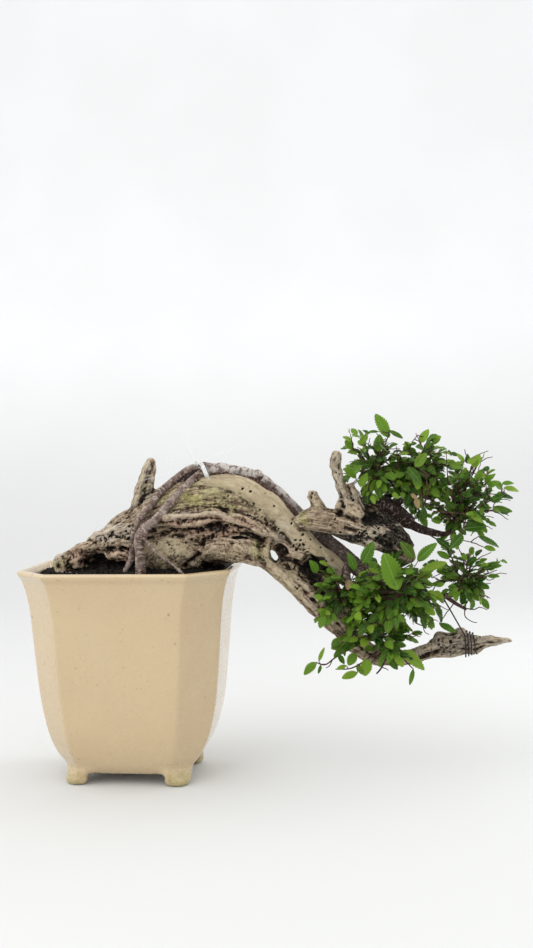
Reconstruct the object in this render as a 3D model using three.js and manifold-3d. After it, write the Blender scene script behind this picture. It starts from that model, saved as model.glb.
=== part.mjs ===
// A semi-cascade bonsai in a glazed pot with cut corners, in millimetres, +Z up.
// Every path below is given from the floor under the pot's centre, X to the right and Y to the back.
import * as THREE from 'three';
import { mergeVertices } from 'three/addons/utils/BufferGeometryUtils.js';
import Module from 'manifold-3d';

const wasm = await Module();
wasm.setup();

// Driving dimensions of the pot
const lipWidth = 150;
const lipDepth = 110;
const lipLeg = 25; // each corner is cut off this far along both sides
const potHeight = 149;
const footHeight = 7;
const wall = 5;
const floorThickness = 6;
const drainRadius = 9;
const footX = 36.5;
const footY = 28;
const footNarrow = 0.72; // width of a foot towards the corner, as a share of its length
const cornerSoftness = 2.2;

// Clearances
const seat = 0.35; // between one piece and the next
const near = 0.6; // how far around a leaf its neighbours are looked for

// Soil
const soilEdge = 144.5;
const moundHeight = 8.5;
const moundX = 18;
const moundY = 8;
const crumbHeight = 0.7;

// Drain screen
const screenRadius = drainRadius + 6;
const screenThickness = 1;
const screenBar = 4;

// Leaves and twigs
const leafThickness = 1.1;
const leafRoot = 0.05; // how far a leaf starts behind the middle of its twig
const twigRadius = 0.75;
const twigTip = 0.45;
const stalkTip = 0.5;
const limbStart = 2.1;
const limbEnd = 1.1;

// Band round the two stems and wire down to the lower snag
const tieCentre = [53.5, -7, 216.8];
const tieTall = 8.2;
const tieWide = 5.6;
const tieWidth = 3;
const tieThickness = 0.8;
const wireRadius = 0.5;
const boughLoop = { x: 218, y: -3, z: 127, radius: 2.9, turns: 1.2, advance: 2.2 };
const snagTurns = { x: 233.5, z: 93.7, radius: 8.6, endRadius: 6.4, turns: 3, advance: 6 };

const up = new THREE.Vector3(0, 0, 1);
const back = new THREE.Vector3(0, 1, 0);
const point = (x, y, z) => new THREE.Vector3(x, y, z);

// A number from 0 to 1 that is always the same for the same seed, item and use
function draw(seed, item, use) {
  const s = Math.sin(seed * 12.9898 + item * 78.233 + use * 37.719) * 43758.5453;
  return s - Math.floor(s);
}

// Solids and geometries

function toSolid(geometry) {
  const bare = geometry.clone();
  bare.deleteAttribute('normal');
  bare.deleteAttribute('uv');
  const merged = mergeVertices(bare, 1e-4);
  return new wasm.Manifold(
    new wasm.Mesh({
      numProp: 3,
      vertProperties: new Float32Array(merged.attributes.position.array),
      triVerts: new Uint32Array(merged.index.array),
    }),
  );
}

function toGeometry(solid) {
  const mesh = solid.getMesh();
  const geometry = new THREE.BufferGeometry();
  geometry.setAttribute('position', new THREE.BufferAttribute(mesh.vertProperties, 3));
  geometry.setIndex(new THREE.BufferAttribute(mesh.triVerts, 1));
  geometry.computeVertexNormals();
  return geometry;
}

// A solid over points and faces; faces that turn out to be wound inwards are turned round
function closedSolid(points, faces) {
  const geometry = new THREE.BufferGeometry().setFromPoints(points);
  geometry.setIndex(faces);
  const solid = toSolid(geometry);
  if (solid.volume() > 0) return solid;
  geometry.setIndex(faces.reverse());
  return toSolid(geometry);
}

const join = (solids) => solids.reduce((sum, solid) => sum.add(solid));
const cut = (solid, tools) => tools.reduce((rest, tool) => rest.subtract(tool), solid);

// The biggest body of a solid: what a cut leaves loose beside it is dropped
function mainBody(solid) {
  const bodies = solid.decompose();
  return bodies.sort((a, b) => b.volume() - a.volume())[0];
}

// A closed skin over rings of equal length, with a fan on the first and the last ring:
// from the middle of a large ring, from one corner of a small one
const smallRing = 6;

function loft(rings) {
  const count = rings[0].length;
  const top = (rings.length - 1) * count;
  const middle = (ring) =>
    ring.reduce((sum, p) => sum.add(p), point(0, 0, 0)).divideScalar(count);
  const points = rings.flat();
  const faces = [];
  for (let i = 0; i < count; i++) {
    const j = (i + 1) % count;
    for (let k = 0; k + 1 < rings.length; k++) {
      const a = k * count;
      const b = a + count;
      faces.push(a + i, a + j, b + j, a + i, b + j, b + i);
    }
    if (count > smallRing) {
      const first = rings.length * count;
      faces.push(first, j, i, first + 1, top + i, top + j);
    } else if (i > 0 && j > 0) {
      faces.push(0, j, i, top, top + i, top + j);
    }
  }
  if (count > smallRing) points.push(middle(rings[0]), middle(rings[rings.length - 1]));
  return closedSolid(points, faces);
}

function ellipsoid({ centre, radii, turn }) {
  const geometry = new THREE.SphereGeometry(1, 8, 5);
  geometry.scale(radii[0], radii[1], radii[2]);
  geometry.rotateY(THREE.MathUtils.degToRad(turn));
  geometry.translate(centre[0], centre[1], centre[2]);
  return toSolid(geometry);
}

// Limbs: rows of x, y, z, radius across the picture plane and radius towards the viewer

function curveThrough(rows, steps) {
  const at = (i) => rows[Math.min(Math.max(i, 0), rows.length - 1)];
  const result = [];
  for (let s = 0; s <= steps; s++) {
    const place = (s / steps) * (rows.length - 1);
    const i = Math.min(Math.floor(place), rows.length - 2);
    const t = place - i;
    const [a, b, c, d] = [at(i - 1), at(i), at(i + 1), at(i + 2)];
    result.push(
      b.map((_, n) => {
        const pull = 2 * a[n] - 5 * b[n] + 4 * c[n] - d[n];
        const turn = 3 * b[n] - a[n] - 3 * c[n] + d[n];
        return 0.5 * (2 * b[n] + (c[n] - a[n]) * t + pull * t * t + turn * t * t * t);
      }),
    );
  }
  return result;
}

// flute: depth of the grooves that run along the wood; grow: even growth on all sides
function limb(rows, { steps, sides = 8, flute = 0, grow = 0, phase = 0 }) {
  const full = rows.map((r) => [r[0], r[1], r[2], r[3], r[4] ?? r[3]]);
  const path = curveThrough(full, steps ?? rows.length * 2);
  const rings = path.map((row, k) => {
    const [x, y, z, acrossRadius, depthRadius] = row;
    const before = path[Math.max(k - 1, 0)];
    const after = path[Math.min(k + 1, path.length - 1)];
    const along = point(after[0] - before[0], after[1] - before[1], after[2] - before[2]);
    along.normalize();
    const across = back.clone().cross(along).normalize();
    const depth = along.clone().cross(across);
    const reach = k === 0 ? -grow : k === path.length - 1 ? grow : 0;
    const centre = point(x, y, z).addScaledVector(along, reach);
    return Array.from({ length: sides }, (_, i) => {
      const angle = (2 * Math.PI * i) / sides;
      const grooves = Math.sin(3 * angle + phase + k * 0.25) + 0.6 * Math.sin(5 * angle - phase);
      const size = 1 + flute * grooves;
      return centre
        .clone()
        .addScaledVector(across, Math.cos(angle) * (acrossRadius * size + grow))
        .addScaledVector(depth, Math.sin(angle) * (depthRadius * size + grow));
    });
  });
  return loft(rings);
}

const limbs = (list, grow = 0) =>
  list.map(({ path, ...how }) => limb(path, { ...how, grow }));

// Pot: a cut-corner outline that changes with height

// height, half width, half depth and corner leg of the outside, from the bottom up
const potProfile = [
  [footHeight, 37, 28.5, 10],
  [footHeight + 1.6, 41, 31.8, 11.5],
  [14, 47, 36.2, 14],
  [21, 51.8, 39.4, 16.4],
  [30, 56, 42.2, 18.8],
  [42, 59.5, 44.4, 20.8],
  [60, 62.8, 46, 22.3],
  [90, 65.8, 47.8, 23.4],
  [118, 68, 49.4, 24.1],
  [132, 70, 51, 24.4],
  [140, 72, 52.4, 24.6],
  [144, 73.6, 53.8, 24.8],
  [147, lipWidth / 2, lipDepth / 2, lipLeg],
  [potHeight, lipWidth / 2 - 1.8, lipDepth / 2 - 1.8, lipLeg],
];

function cutCornerRing(z, halfWidth, halfDepth, leg) {
  const corners = [
    [halfWidth, halfDepth - leg],
    [halfWidth - leg, halfDepth],
    [-halfWidth + leg, halfDepth],
    [-halfWidth, halfDepth - leg],
    [-halfWidth, -halfDepth + leg],
    [-halfWidth + leg, -halfDepth],
    [halfWidth - leg, -halfDepth],
    [halfWidth, -halfDepth + leg],
  ].map(([x, y]) => new THREE.Vector2(x, y));
  return corners.flatMap((corner, i) => {
    const towards = (other) => other.clone().sub(corner).setLength(cornerSoftness).add(corner);
    const before = towards(corners[(i + 7) % 8]);
    const after = towards(corners[(i + 1) % 8]);
    return [point(before.x, before.y, z), point(after.x, after.y, z)];
  });
}

function insideRing([z, halfWidth, halfDepth, leg], inset) {
  const legInset = inset * (2 - Math.SQRT2);
  return cutCornerRing(z, halfWidth - inset, halfDepth - inset, leg - legInset);
}

function outsideAt(height) {
  const i = potProfile.findIndex((row) => row[0] >= height);
  if (i <= 0) return potProfile[0];
  const [low, high] = [potProfile[i - 1], potProfile[i]];
  const t = (height - low[0]) / (high[0] - low[0]);
  return low.map((v, n) => v + (high[n] - v) * t);
}

// height and radius of a foot, from the floor to inside the pot's bottom
const footProfile = [
  [0, 7.4],
  [1.2, 8.8],
  [5, 10.2],
  [10, 9.4],
  [13.5, 6.4],
];

function foot(signX, signY) {
  const outward = point(signX, signY, 0).normalize();
  const sideways = point(-signY, signX, 0).normalize();
  const rings = footProfile.map(([z, radius]) =>
    Array.from({ length: 10 }, (_, i) => {
      const angle = (2 * Math.PI * i) / 10;
      const lobes = 1 + 0.1 * Math.cos(3 * angle);
      return point(signX * footX, signY * footY, z)
        .addScaledVector(outward, Math.cos(angle) * radius * footNarrow * lobes)
        .addScaledVector(sideways, Math.sin(angle) * radius * lobes);
    }),
  );
  return loft(rings);
}

// Rings of the hollow, or of what fills it, from the floor up to the soil's edge
const floorTop = footHeight + floorThickness;
const hollowHeights = [17, 30, 60, 118, 136, soilEdge];

function hollowRings(lowest, inset) {
  const rings = hollowHeights.map((z) => insideRing(outsideAt(z), inset));
  return [insideRing([lowest, ...outsideAt(lowest).slice(1)], inset + 2), ...rings];
}

function pot() {
  const outside = loft(potProfile.map((row) => cutCornerRing(...row)));
  const hollow = hollowRings(floorTop, wall);
  hollow.push(insideRing([potHeight - 3, lipWidth / 2, lipDepth / 2, lipLeg], 5));
  hollow.push(insideRing([potHeight + 1, lipWidth / 2, lipDepth / 2, lipLeg], 3.2));
  const drain = new THREE.CylinderGeometry(drainRadius, drainRadius, 30, 14);
  drain.rotateX(Math.PI / 2);
  const feet = [foot(1, 1), foot(-1, 1), foot(-1, -1), foot(1, -1)];
  return cut(join([outside, ...feet]), [loft(hollow), toSolid(drain)]);
}

// Two bars each way over the drain hole, resting on the floor
function drainScreen() {
  const bars = [];
  for (const offset of [-7, 7]) {
    const length = 2 * Math.sqrt(screenRadius ** 2 - offset ** 2);
    const across = new THREE.BoxGeometry(length, screenBar, screenThickness);
    bars.push(toSolid(across.translate(0, offset, 0)));
    const along = new THREE.BoxGeometry(screenBar, length, screenThickness);
    bars.push(toSolid(along.translate(offset, 0, 0)));
  }
  return join(bars).translate([0, 0, floorTop + seat + screenThickness / 2]);
}

// Soil: level at the wall, mounded at the trunk base, with small crumbs

function soilHeight(x, y) {
  const away = ((x - moundX) / 46) ** 2 + ((y - moundY) / 30) ** 2;
  const crumbs = Math.sin(x * 0.55 + y * 0.3) * Math.sin(y * 0.62 - x * 0.21);
  return soilEdge + moundHeight * Math.exp(-away) + crumbHeight * crumbs;
}

function soilBody(lift) {
  const lowest = floorTop + seat + screenThickness + seat;
  const rings = hollowRings(lowest, wall + seat);
  const edge = rings.pop();
  for (const share of [1, 0.82, 0.62, 0.4, 0.2]) {
    rings.push(
      edge.map((p) => {
        const x = p.x * share + moundX * (1 - share);
        const y = p.y * share + moundY * (1 - share);
        return point(x, y, (share === 1 ? soilEdge : soilHeight(x, y)) + lift);
      }),
    );
  }
  return loft(rings);
}

// Deadwood: the bleached trunk with its horn, snags and long lower snag

const deadLimbs = [
  {
    name: 'low base',
    steps: 7,
    sides: 8,
    flute: 0.1,
    path: [
      [-55, -6, 150, 3, 4],
      [-47, -4, 154.5, 5, 7],
      [-38, 0, 158, 6.5, 10],
      [-27, 2, 160, 8.5, 13],
      [-14, 4, 163.5, 13.5, 16],
      [1, 4, 168, 18.5, 19],
      [20, 2, 171, 23, 21],
    ],
  },
  {
    name: 'shoulder beside the horn',
    steps: 3,
    sides: 6,
    flute: 0.1,
    path: [
      [-18, 2, 168, 7, 9],
      [-8, 3, 177, 8, 9],
      [4, 4, 183, 7.5, 8],
      [14, 3, 184, 6, 8],
    ],
  },
  {
    name: 'horn',
    steps: 5,
    sides: 7,
    flute: 0.1,
    phase: 1,
    path: [
      [3, 6, 172, 10.5, 9],
      [5, 5, 184, 8.6, 7.5],
      [7.5, 5, 198, 7.4, 6.2],
      [10.5, 5, 211, 5.8, 5],
      [13, 5, 219.5, 4.6, 4],
      [14.5, 5, 225.5, 2.6, 2.6],
    ],
  },
  {
    name: 'hump',
    steps: 10,
    sides: 12,
    flute: 0.05,
    path: [
      [-4, 4, 163, 14, 15],
      [13, 2, 173, 22, 19],
      [32, 0, 179, 29.5, 21.5],
      [50, 0, 182, 33, 22.5],
      [68, 0, 181.5, 31, 21.5],
      [86, -2, 178, 26.5, 18.5],
      [101, -3, 171, 18, 14],
      [112, -3, 163, 9, 9],
    ],
  },
  {
    name: 'smooth band',
    steps: 9,
    sides: 7,
    path: [
      [54, -6, 207, 5.5, 8],
      [72, -10, 206, 7.2, 8],
      [87, -12, 200.5, 8.6, 8],
      [100, -11, 191, 9.2, 8],
      [110, -9, 180.5, 9.2, 8],
      [121, -7, 169, 8, 7.5],
      [132, -5, 159.5, 6.6, 7],
      [143, -2, 151, 5.7, 6],
      [153, 2, 141, 5, 5],
    ],
  },
  {
    name: 'ridge',
    steps: 6,
    sides: 6,
    flute: 0.12,
    path: [
      [9, -15, 177, 4, 5],
      [29, -21, 183, 5, 5.5],
      [47, -24, 182.5, 5, 5.5],
      [65, -24.5, 185, 4.4, 5],
      [82, -21.5, 183, 4.4, 5],
      [96, -17, 176, 4.4, 5],
      [105, -12, 167, 4.4, 5],
    ],
  },
  {
    name: 'left lump',
    steps: 3,
    sides: 7,
    flute: 0.08,
    path: [
      [15, -13, 155, 8, 9],
      [28, -18, 160, 11, 10],
      [40, -18, 160, 11.5, 10],
      [52, -14, 156, 8.5, 8],
    ],
  },
  {
    name: 'right lump',
    steps: 4,
    sides: 7,
    flute: 0.08,
    phase: 2,
    path: [
      [55, -15, 160, 7, 8],
      [68, -19, 164, 9, 9],
      [82, -18, 162, 9.5, 9],
      [94, -13, 158, 8.5, 8],
      [102, -8, 153, 6, 6],
    ],
  },
  {
    name: 'near strand',
    steps: 8,
    sides: 8,
    flute: 0.08,
    path: [
      [86, -8, 160, 7, 9],
      [93, -8, 155.5, 6.2, 8],
      [102, -8, 149.5, 6, 8],
      [112, -7, 141, 6.8, 8.5],
      [122, -6, 133, 8.2, 9.5],
      [131, -5, 124, 8.8, 9.5],
      [140, -3, 114.5, 8.2, 8.5],
      [148, -1, 105.5, 7.5, 8],
    ],
  },
  {
    name: 'far strand',
    steps: 4,
    sides: 6,
    flute: 0.08,
    path: [
      [106, 3, 176, 10, 10],
      [117, 3, 161, 11, 10],
      [128, 3, 146.5, 11, 9],
      [138, 2, 131.5, 10, 8],
      [145, 0, 117, 8, 8],
    ],
  },
  {
    name: 'knot between the strands',
    steps: 3,
    sides: 6,
    path: [
      [102, -6, 168, 6, 8],
      [113, -7, 161.5, 6.6, 8],
      [124, -7, 158, 6.4, 7],
    ],
  },
  {
    name: 'lower snag',
    steps: 15,
    sides: 7,
    flute: 0.1,
    phase: 0.7,
    path: [
      [141, -2, 113.5, 7.8, 8.5],
      [152, 0, 100.5, 7, 8],
      [163, 2, 90, 6.6, 7.5],
      [174, 2, 84.5, 5.8, 6.5],
      [186, 1, 82.5, 4.6, 5.5],
      [197, 0, 84.5, 5, 5.5],
      [207, 0, 88, 5.8, 5.5],
      [217, 0, 91, 7.4, 6],
      [228, 0, 93, 8, 6.2],
      [236, 0, 93.4, 6.6, 5.2],
      [243, 0, 94, 4.3, 4],
      [252, 0, 95, 3.4, 3.4],
      [260, 0, 96.2, 2.6, 2.6],
      [266.5, 0, 95.6, 1.4, 1.6],
    ],
  },
  {
    name: 'side branch',
    steps: 8,
    sides: 8,
    flute: 0.07,
    path: [
      [121.5, -12, 180, 5.4, 5],
      [127, -15, 181.5, 7.2, 6],
      [134, -17, 182, 8, 7],
      [145, -17, 180.5, 8.8, 7.5],
      [157, -16, 175.5, 8.6, 7.5],
      [170, -14, 170.5, 8.8, 7],
      [182, -12, 165.5, 8.4, 6.5],
      [192, -10, 159.5, 6.4, 5],
      [199, -8, 153, 3, 3],
    ],
  },
  {
    name: 'first snag',
    steps: 3,
    sides: 6,
    flute: 0.08,
    path: [
      [137, -16, 184, 7, 5],
      [133.5, -16, 193.5, 4.2, 3.6],
      [131.5, -16, 201.5, 3, 2.6],
    ],
  },
  {
    name: 'nub of the first snag',
    steps: 1,
    sides: 5,
    path: [
      [133, -17, 194, 2.4, 2.4],
      [127.5, -18, 198, 1.4, 1.4],
    ],
  },
  {
    name: 'tall snag',
    steps: 6,
    sides: 6,
    flute: 0.08,
    path: [
      [158, -15, 181, 8.5, 6.5],
      [154.5, -16, 193, 5, 4.4],
      [151, -17, 202, 3.8, 3.4],
      [148.5, -17, 210.5, 3.6, 3.4],
      [147, -17, 218, 4.6, 3.8],
      [148, -17, 224, 3.6, 3.2],
      [148.5, -17, 228, 2, 2],
    ],
  },
  {
    name: 'short snag',
    steps: 3,
    sides: 6,
    path: [
      [164, -14, 182, 7.5, 6],
      [160, -14, 195, 4.4, 4],
      [157, -14, 206, 2.8, 2.6],
    ],
  },
  {
    name: 'plate on the side branch',
    steps: 3,
    sides: 5,
    path: [
      [149, -20, 187, 3, 2.5],
      [157, -21, 189.5, 5.2, 3],
      [163, -20, 187, 5.6, 3],
      [168, -17, 181, 3, 2.5],
    ],
  },
  {
    name: 'hollow mass behind the side branch',
    steps: 3,
    sides: 6,
    flute: 0.08,
    path: [
      [158, -6, 184, 8, 6],
      [170, -4, 181, 9, 6.5],
      [182, -3, 175, 9.5, 6],
      [193, -4, 168, 6, 5],
    ],
  },
];

const rootPost = {
  name: 'root post in the soil',
  steps: 3,
  sides: 8,
  path: [
    [30, 4, 112, 16, 12],
    [31, 3, 128, 20, 14],
    [33, 2, 143, 23, 15],
    [34, 1, 160, 22, 15],
  ],
};

// Holes and hollows worn in the deadwood: centre, radii and turn about the Y axis
const hollows = [
  { centre: [100.5, -4, 158.5], radii: [3.4, 24, 5.6], turn: 28 },
  { centre: [127, -9, 147.5], radii: [5.6, 9, 8.6], turn: -28 },
  { centre: [58, -27, 179.5], radii: [9.5, 8, 3.2], turn: 12 },
  { centre: [-27, -13, 152], radii: [16, 12, 8.5], turn: -14 },
  { centre: [176, -14, 183.5], radii: [9, 7, 3.6], turn: 30 },
  { centre: [112.5, -14, 168], radii: [2.6, 5, 3.6], turn: -20 },
];

// Living wood: two stems from the soil that join, and the boughs they feed

const liveLimbs = [
  {
    name: 'front stem and vein',
    steps: 24,
    sides: 6,
    flute: 0.03,
    path: [
      [13.5, -32, 118, 3.6],
      [13.5, -32, 140, 3.6],
      [13, -31.5, 160, 3.2],
      [12.5, -30.5, 172, 3.3],
      [18, -29, 179, 3.2],
      [25, -27, 184.5, 3.2],
      [35, -21, 197, 3],
      [44, -14.5, 207, 3],
      [54, -9, 214.5, 3.2],
      [64, -6.5, 216.5, 3.9],
      [79, -3, 215, 3.9],
      [90, -0.5, 212, 3.7],
      [99, 1.5, 206, 3.6],
      [113, 6, 192, 3.7],
      [120, 8.5, 184, 4],
      [128, 10, 174.5, 5],
      [137, 9.5, 165, 6],
      [147, 7, 157, 6],
      [157, 4, 149, 5.7],
      [168, 0, 139.5, 5],
      [180, -3, 131, 4.4],
      [193, -4, 127, 3.6],
      [207, -3.5, 126.5, 3],
      [221, -3, 127, 2.6],
      [231, -3, 130, 2.2],
    ],
  },
  {
    name: 'back stem',
    steps: 12,
    sides: 5,
    flute: 0.03,
    path: [
      [0, -24, 122, 2],
      [0, -24, 144, 2],
      [5, -24, 156, 1.9],
      [6.5, -24, 170, 1.9],
      [9, -23.5, 178, 2],
      [12, -22.5, 184.5, 2.1],
      [17, -20.5, 190.5, 2.3],
      [26, -15, 203, 2.3],
      [34, -10, 210.5, 2.4],
      [43, -6, 217, 2.5],
      [53, -4.5, 219.5, 2.6],
      [62, -5, 218, 3],
    ],
  },
  {
    name: 'thin root',
    steps: 5,
    sides: 4,
    path: [
      [14, -31, 174, 1.4],
      [22, -34, 165, 1.1],
      [29, -36, 159, 1],
      [37, -37, 153.5, 1],
      [44, -37.5, 147, 1],
      [47, -37.5, 140, 1],
    ],
  },
  {
    name: 'upper bough',
    steps: 7,
    sides: 6,
    flute: 0.04,
    path: [
      [127, 10, 173, 4.4],
      [136, 14, 173, 5.4],
      [148, 17, 175, 6],
      [162, 18, 179, 6],
      [178, 16, 181, 5.2],
      [193, 12, 177.5, 3.8],
      [206, 10, 172, 3],
      [218, 9, 169, 2.4],
    ],
  },
  {
    name: 'bough of the left crown',
    steps: 3,
    sides: 5,
    path: [
      [160, 17, 180, 3.6],
      [164, 11, 191, 2.8],
      [169, 7, 199, 2.3],
      [171, 3, 208, 2],
    ],
  },
  {
    name: 'bough of the top crown',
    steps: 3,
    sides: 5,
    path: [
      [180, 15, 182, 3.6],
      [187, 10, 189, 2.8],
      [196, 8, 197, 2.4],
      [200, 5, 206, 2],
    ],
  },
  {
    name: 'bough of the back crown',
    steps: 2,
    sides: 5,
    path: [
      [168, 18, 181, 4],
      [174, 26, 188, 3.2],
      [182, 32, 194, 2.4],
    ],
  },
  {
    name: 'bough of the lower left spray',
    steps: 2,
    sides: 5,
    path: [
      [152, 4, 150, 3.6],
      [153, -8, 143, 3],
      [155, -17, 136, 2.2],
    ],
  },
  {
    name: 'bough of the front spray',
    steps: 2,
    sides: 5,
    path: [
      [170, 0, 138, 3.6],
      [177, -13, 134, 3],
      [184, -22, 131, 2.2],
    ],
  },
  {
    name: 'bough of the bottom spray',
    steps: 3,
    sides: 5,
    path: [
      [178, -3, 131, 3.4],
      [179, -10, 120, 2.9],
      [178, -13, 110, 2.4],
      [176, -14, 102, 2],
    ],
  },
  {
    name: 'bough of the back spray',
    steps: 2,
    sides: 5,
    path: [
      [160, 4, 146, 3.6],
      [166, 16, 138, 3],
      [174, 25, 132, 2.2],
    ],
  },
];

// The band round both stems, an oval loop of rectangular section
function tieBand(grow) {
  const width = tieWidth + 2 * grow;
  const thickness = tieThickness + 2 * grow;
  const along = point(0.85, 0.34, 0.4).normalize(); // the way the two stems run here
  const wide = point(0, 0.67, 0.74).cross(along).normalize();
  const tall = along.clone().cross(wide);
  const rings = [];
  const count = 14;
  for (let i = 0; i < count; i++) {
    const angle = (2 * Math.PI * i) / count;
    const outward = tall
      .clone()
      .multiplyScalar(Math.cos(angle) * tieTall)
      .addScaledVector(wide, Math.sin(angle) * tieWide);
    const centre = point(...tieCentre).add(outward);
    const unit = outward.clone().normalize();
    rings.push(
      [
        [-1, -1],
        [1, -1],
        [1, 1],
        [-1, 1],
      ].map(([a, b]) =>
        centre
          .clone()
          .addScaledVector(along, (a * width) / 2)
          .addScaledVector(unit, (b * thickness) / 2),
      ),
    );
  }
  return closedRing(rings);
}

// A skin over rings that meets itself again, with no caps
function closedRing(rings) {
  const count = rings[0].length;
  const faces = [];
  rings.forEach((_, k) => {
    const a = k * count;
    const b = ((k + 1) % rings.length) * count;
    for (let i = 0; i < count; i++) {
      const j = (i + 1) % count;
      faces.push(a + i, a + j, b + j, a + i, b + j, b + i);
    }
  });
  return closedSolid(rings.flat(), faces);
}

// Guy wire: a loop round the bough, a straight span, and turns round the lower snag
function guyWire() {
  const rows = [];
  const loopSteps = 10;
  for (let i = 0; i <= loopSteps; i++) {
    const share = i / loopSteps;
    const { x, y, z, radius, turns, advance } = boughLoop;
    const angle = Math.PI * (1.25 + 2 * turns * (1 - share));
    const r = radius + seat + wireRadius;
    rows.push([x + share * advance, y + r * Math.cos(angle), z + r * Math.sin(angle)]);
  }
  const turnSteps = 24;
  for (let i = 0; i <= turnSteps; i++) {
    const share = i / turnSteps;
    const { x, z, radius, endRadius, turns, advance } = snagTurns;
    const angle = Math.PI * 0.75 + 2 * Math.PI * turns * share;
    const r = radius + (endRadius - radius) * share + seat + wireRadius;
    rows.push([x + share * advance, r * Math.cos(angle), z + r * Math.sin(angle)]);
  }
  rows.push([241.5, -9, 88]);
  return wireAlong(rows, 5);
}

function wireAlong(rows, sides) {
  const path = rows.map(([x, y, z]) => point(x, y, z));
  const reference = point(1, 0.2, 0.1).normalize();
  const rings = path.map((p, k) => {
    const before = path[Math.max(k - 1, 0)];
    const after = path[Math.min(k + 1, path.length - 1)];
    const along = after.clone().sub(before).normalize();
    const a = reference.clone().cross(along).normalize();
    const b = along.clone().cross(a);
    return Array.from({ length: sides }, (_, i) => {
      const angle = (2 * Math.PI * i) / sides;
      return p
        .clone()
        .addScaledVector(a, Math.cos(angle) * wireRadius)
        .addScaledVector(b, Math.sin(angle) * wireRadius);
    });
  });
  return loft(rings);
}

// Leaves: an ovate blade with teeth, thickest at the rib, its halves raised a little

// share of the length, and half width as a share of the full width, with one tooth on each side
const leafEdge = [
  [0.2, 0.37],
  [0.5, 0.52],
  [0.55, 0.43],
];

function leaf(base, direction, facing, length, width) {
  const along = direction.clone().normalize();
  const across = facing.clone().cross(along).normalize();
  const normal = along.clone().cross(across).normalize();
  const place = (u, v, lift) => {
    const raised = Math.abs(v) * 0.3 - u * u * 0.14; // the halves rise, the tip droops
    return base
      .clone()
      .addScaledVector(along, u * length - leafRoot)
      .addScaledVector(across, v * width)
      .addScaledVector(normal, lift + raised * width);
  };
  const outline = [
    place(0, 0, 0),
    ...leafEdge.map(([u, v]) => place(u, v, 0)),
    place(1, 0, 0),
    ...[...leafEdge].reverse().map(([u, v]) => place(u, -v, 0)),
  ];
  const points = [
    ...outline,
    place(0.42, 0, leafThickness / 2),
    place(0.42, 0, -leafThickness / 2),
  ];
  const count = outline.length;
  const faces = [];
  for (let i = 0; i < count; i++) {
    const j = (i + 1) % count;
    faces.push(count, j, i, count + 1, i, j);
  }
  return closedSolid(points, faces);
}

// Sprays: a limb from a bough's end, shoots that fan out evenly, leaves on both sides of them

// base: middle of the bough's end; aim: the way the bough points there; heart: middle of the spray;
// reach: how far the shoots go each way; leafLength: usual length of a leaf
const sprays = [
  {
    name: 'spray_crown_left',
    base: [171, 3, 208],
    aim: [2, -4, 9],
    heart: [175, -4, 219],
    reach: [17, 22, 19],
    shoots: 7,
    leaves: 3,
    leafLength: 10,
    seed: 3,
  },
  {
    name: 'spray_crown_top',
    base: [200, 5, 206],
    aim: [4, -3, 9],
    heart: [206, 0, 218],
    reach: [19, 26, 17],
    shoots: 7,
    leaves: 3,
    leafLength: 10,
    seed: 5,
  },
  {
    name: 'spray_crown_right',
    base: [218, 9, 169],
    aim: [12, -1, -3],
    heart: [237, 2, 189],
    reach: [24, 25, 25],
    shoots: 7,
    leaves: 3,
    leafLength: 9.5,
    seed: 8,
  },
  {
    name: 'spray_crown_back',
    base: [182, 32, 194],
    aim: [8, 6, 6],
    heart: [200, 30, 196],
    reach: [24, 14, 20],
    shoots: 6,
    leaves: 3,
    leafLength: 10,
    seed: 12,
  },
  {
    name: 'spray_lower_left',
    base: [155, -17, 136],
    aim: [2, -9, -7],
    heart: [152, -22, 128],
    reach: [21, 13, 19],
    shoots: 7,
    leaves: 3,
    leafLength: 10,
    seed: 17,
  },
  {
    name: 'spray_front',
    base: [184, -22, 131],
    aim: [7, -9, -3],
    heart: [190, -30, 134],
    reach: [21, 12, 21],
    shoots: 7,
    leaves: 3,
    leafLength: 12,
    seed: 21,
  },
  {
    name: 'spray_lower_right',
    base: [231, -3, 130],
    aim: [10, 0, 3],
    heart: [236, -4, 140],
    reach: [20, 22, 17],
    shoots: 6,
    leaves: 3,
    leafLength: 9.5,
    seed: 26,
  },
  {
    name: 'spray_bottom',
    base: [176, -14, 102],
    aim: [-2, -1, -8],
    heart: [174, -16, 98],
    reach: [27, 15, 13],
    shoots: 7,
    leaves: 3,
    leafLength: 11,
    seed: 31,
  },
  {
    name: 'spray_lower_back',
    base: [174, 25, 132],
    aim: [8, 9, -6],
    heart: [184, 31, 128],
    reach: [24, 14, 21],
    shoots: 6,
    leaves: 3,
    leafLength: 10.5,
    seed: 37,
  },
];

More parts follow.
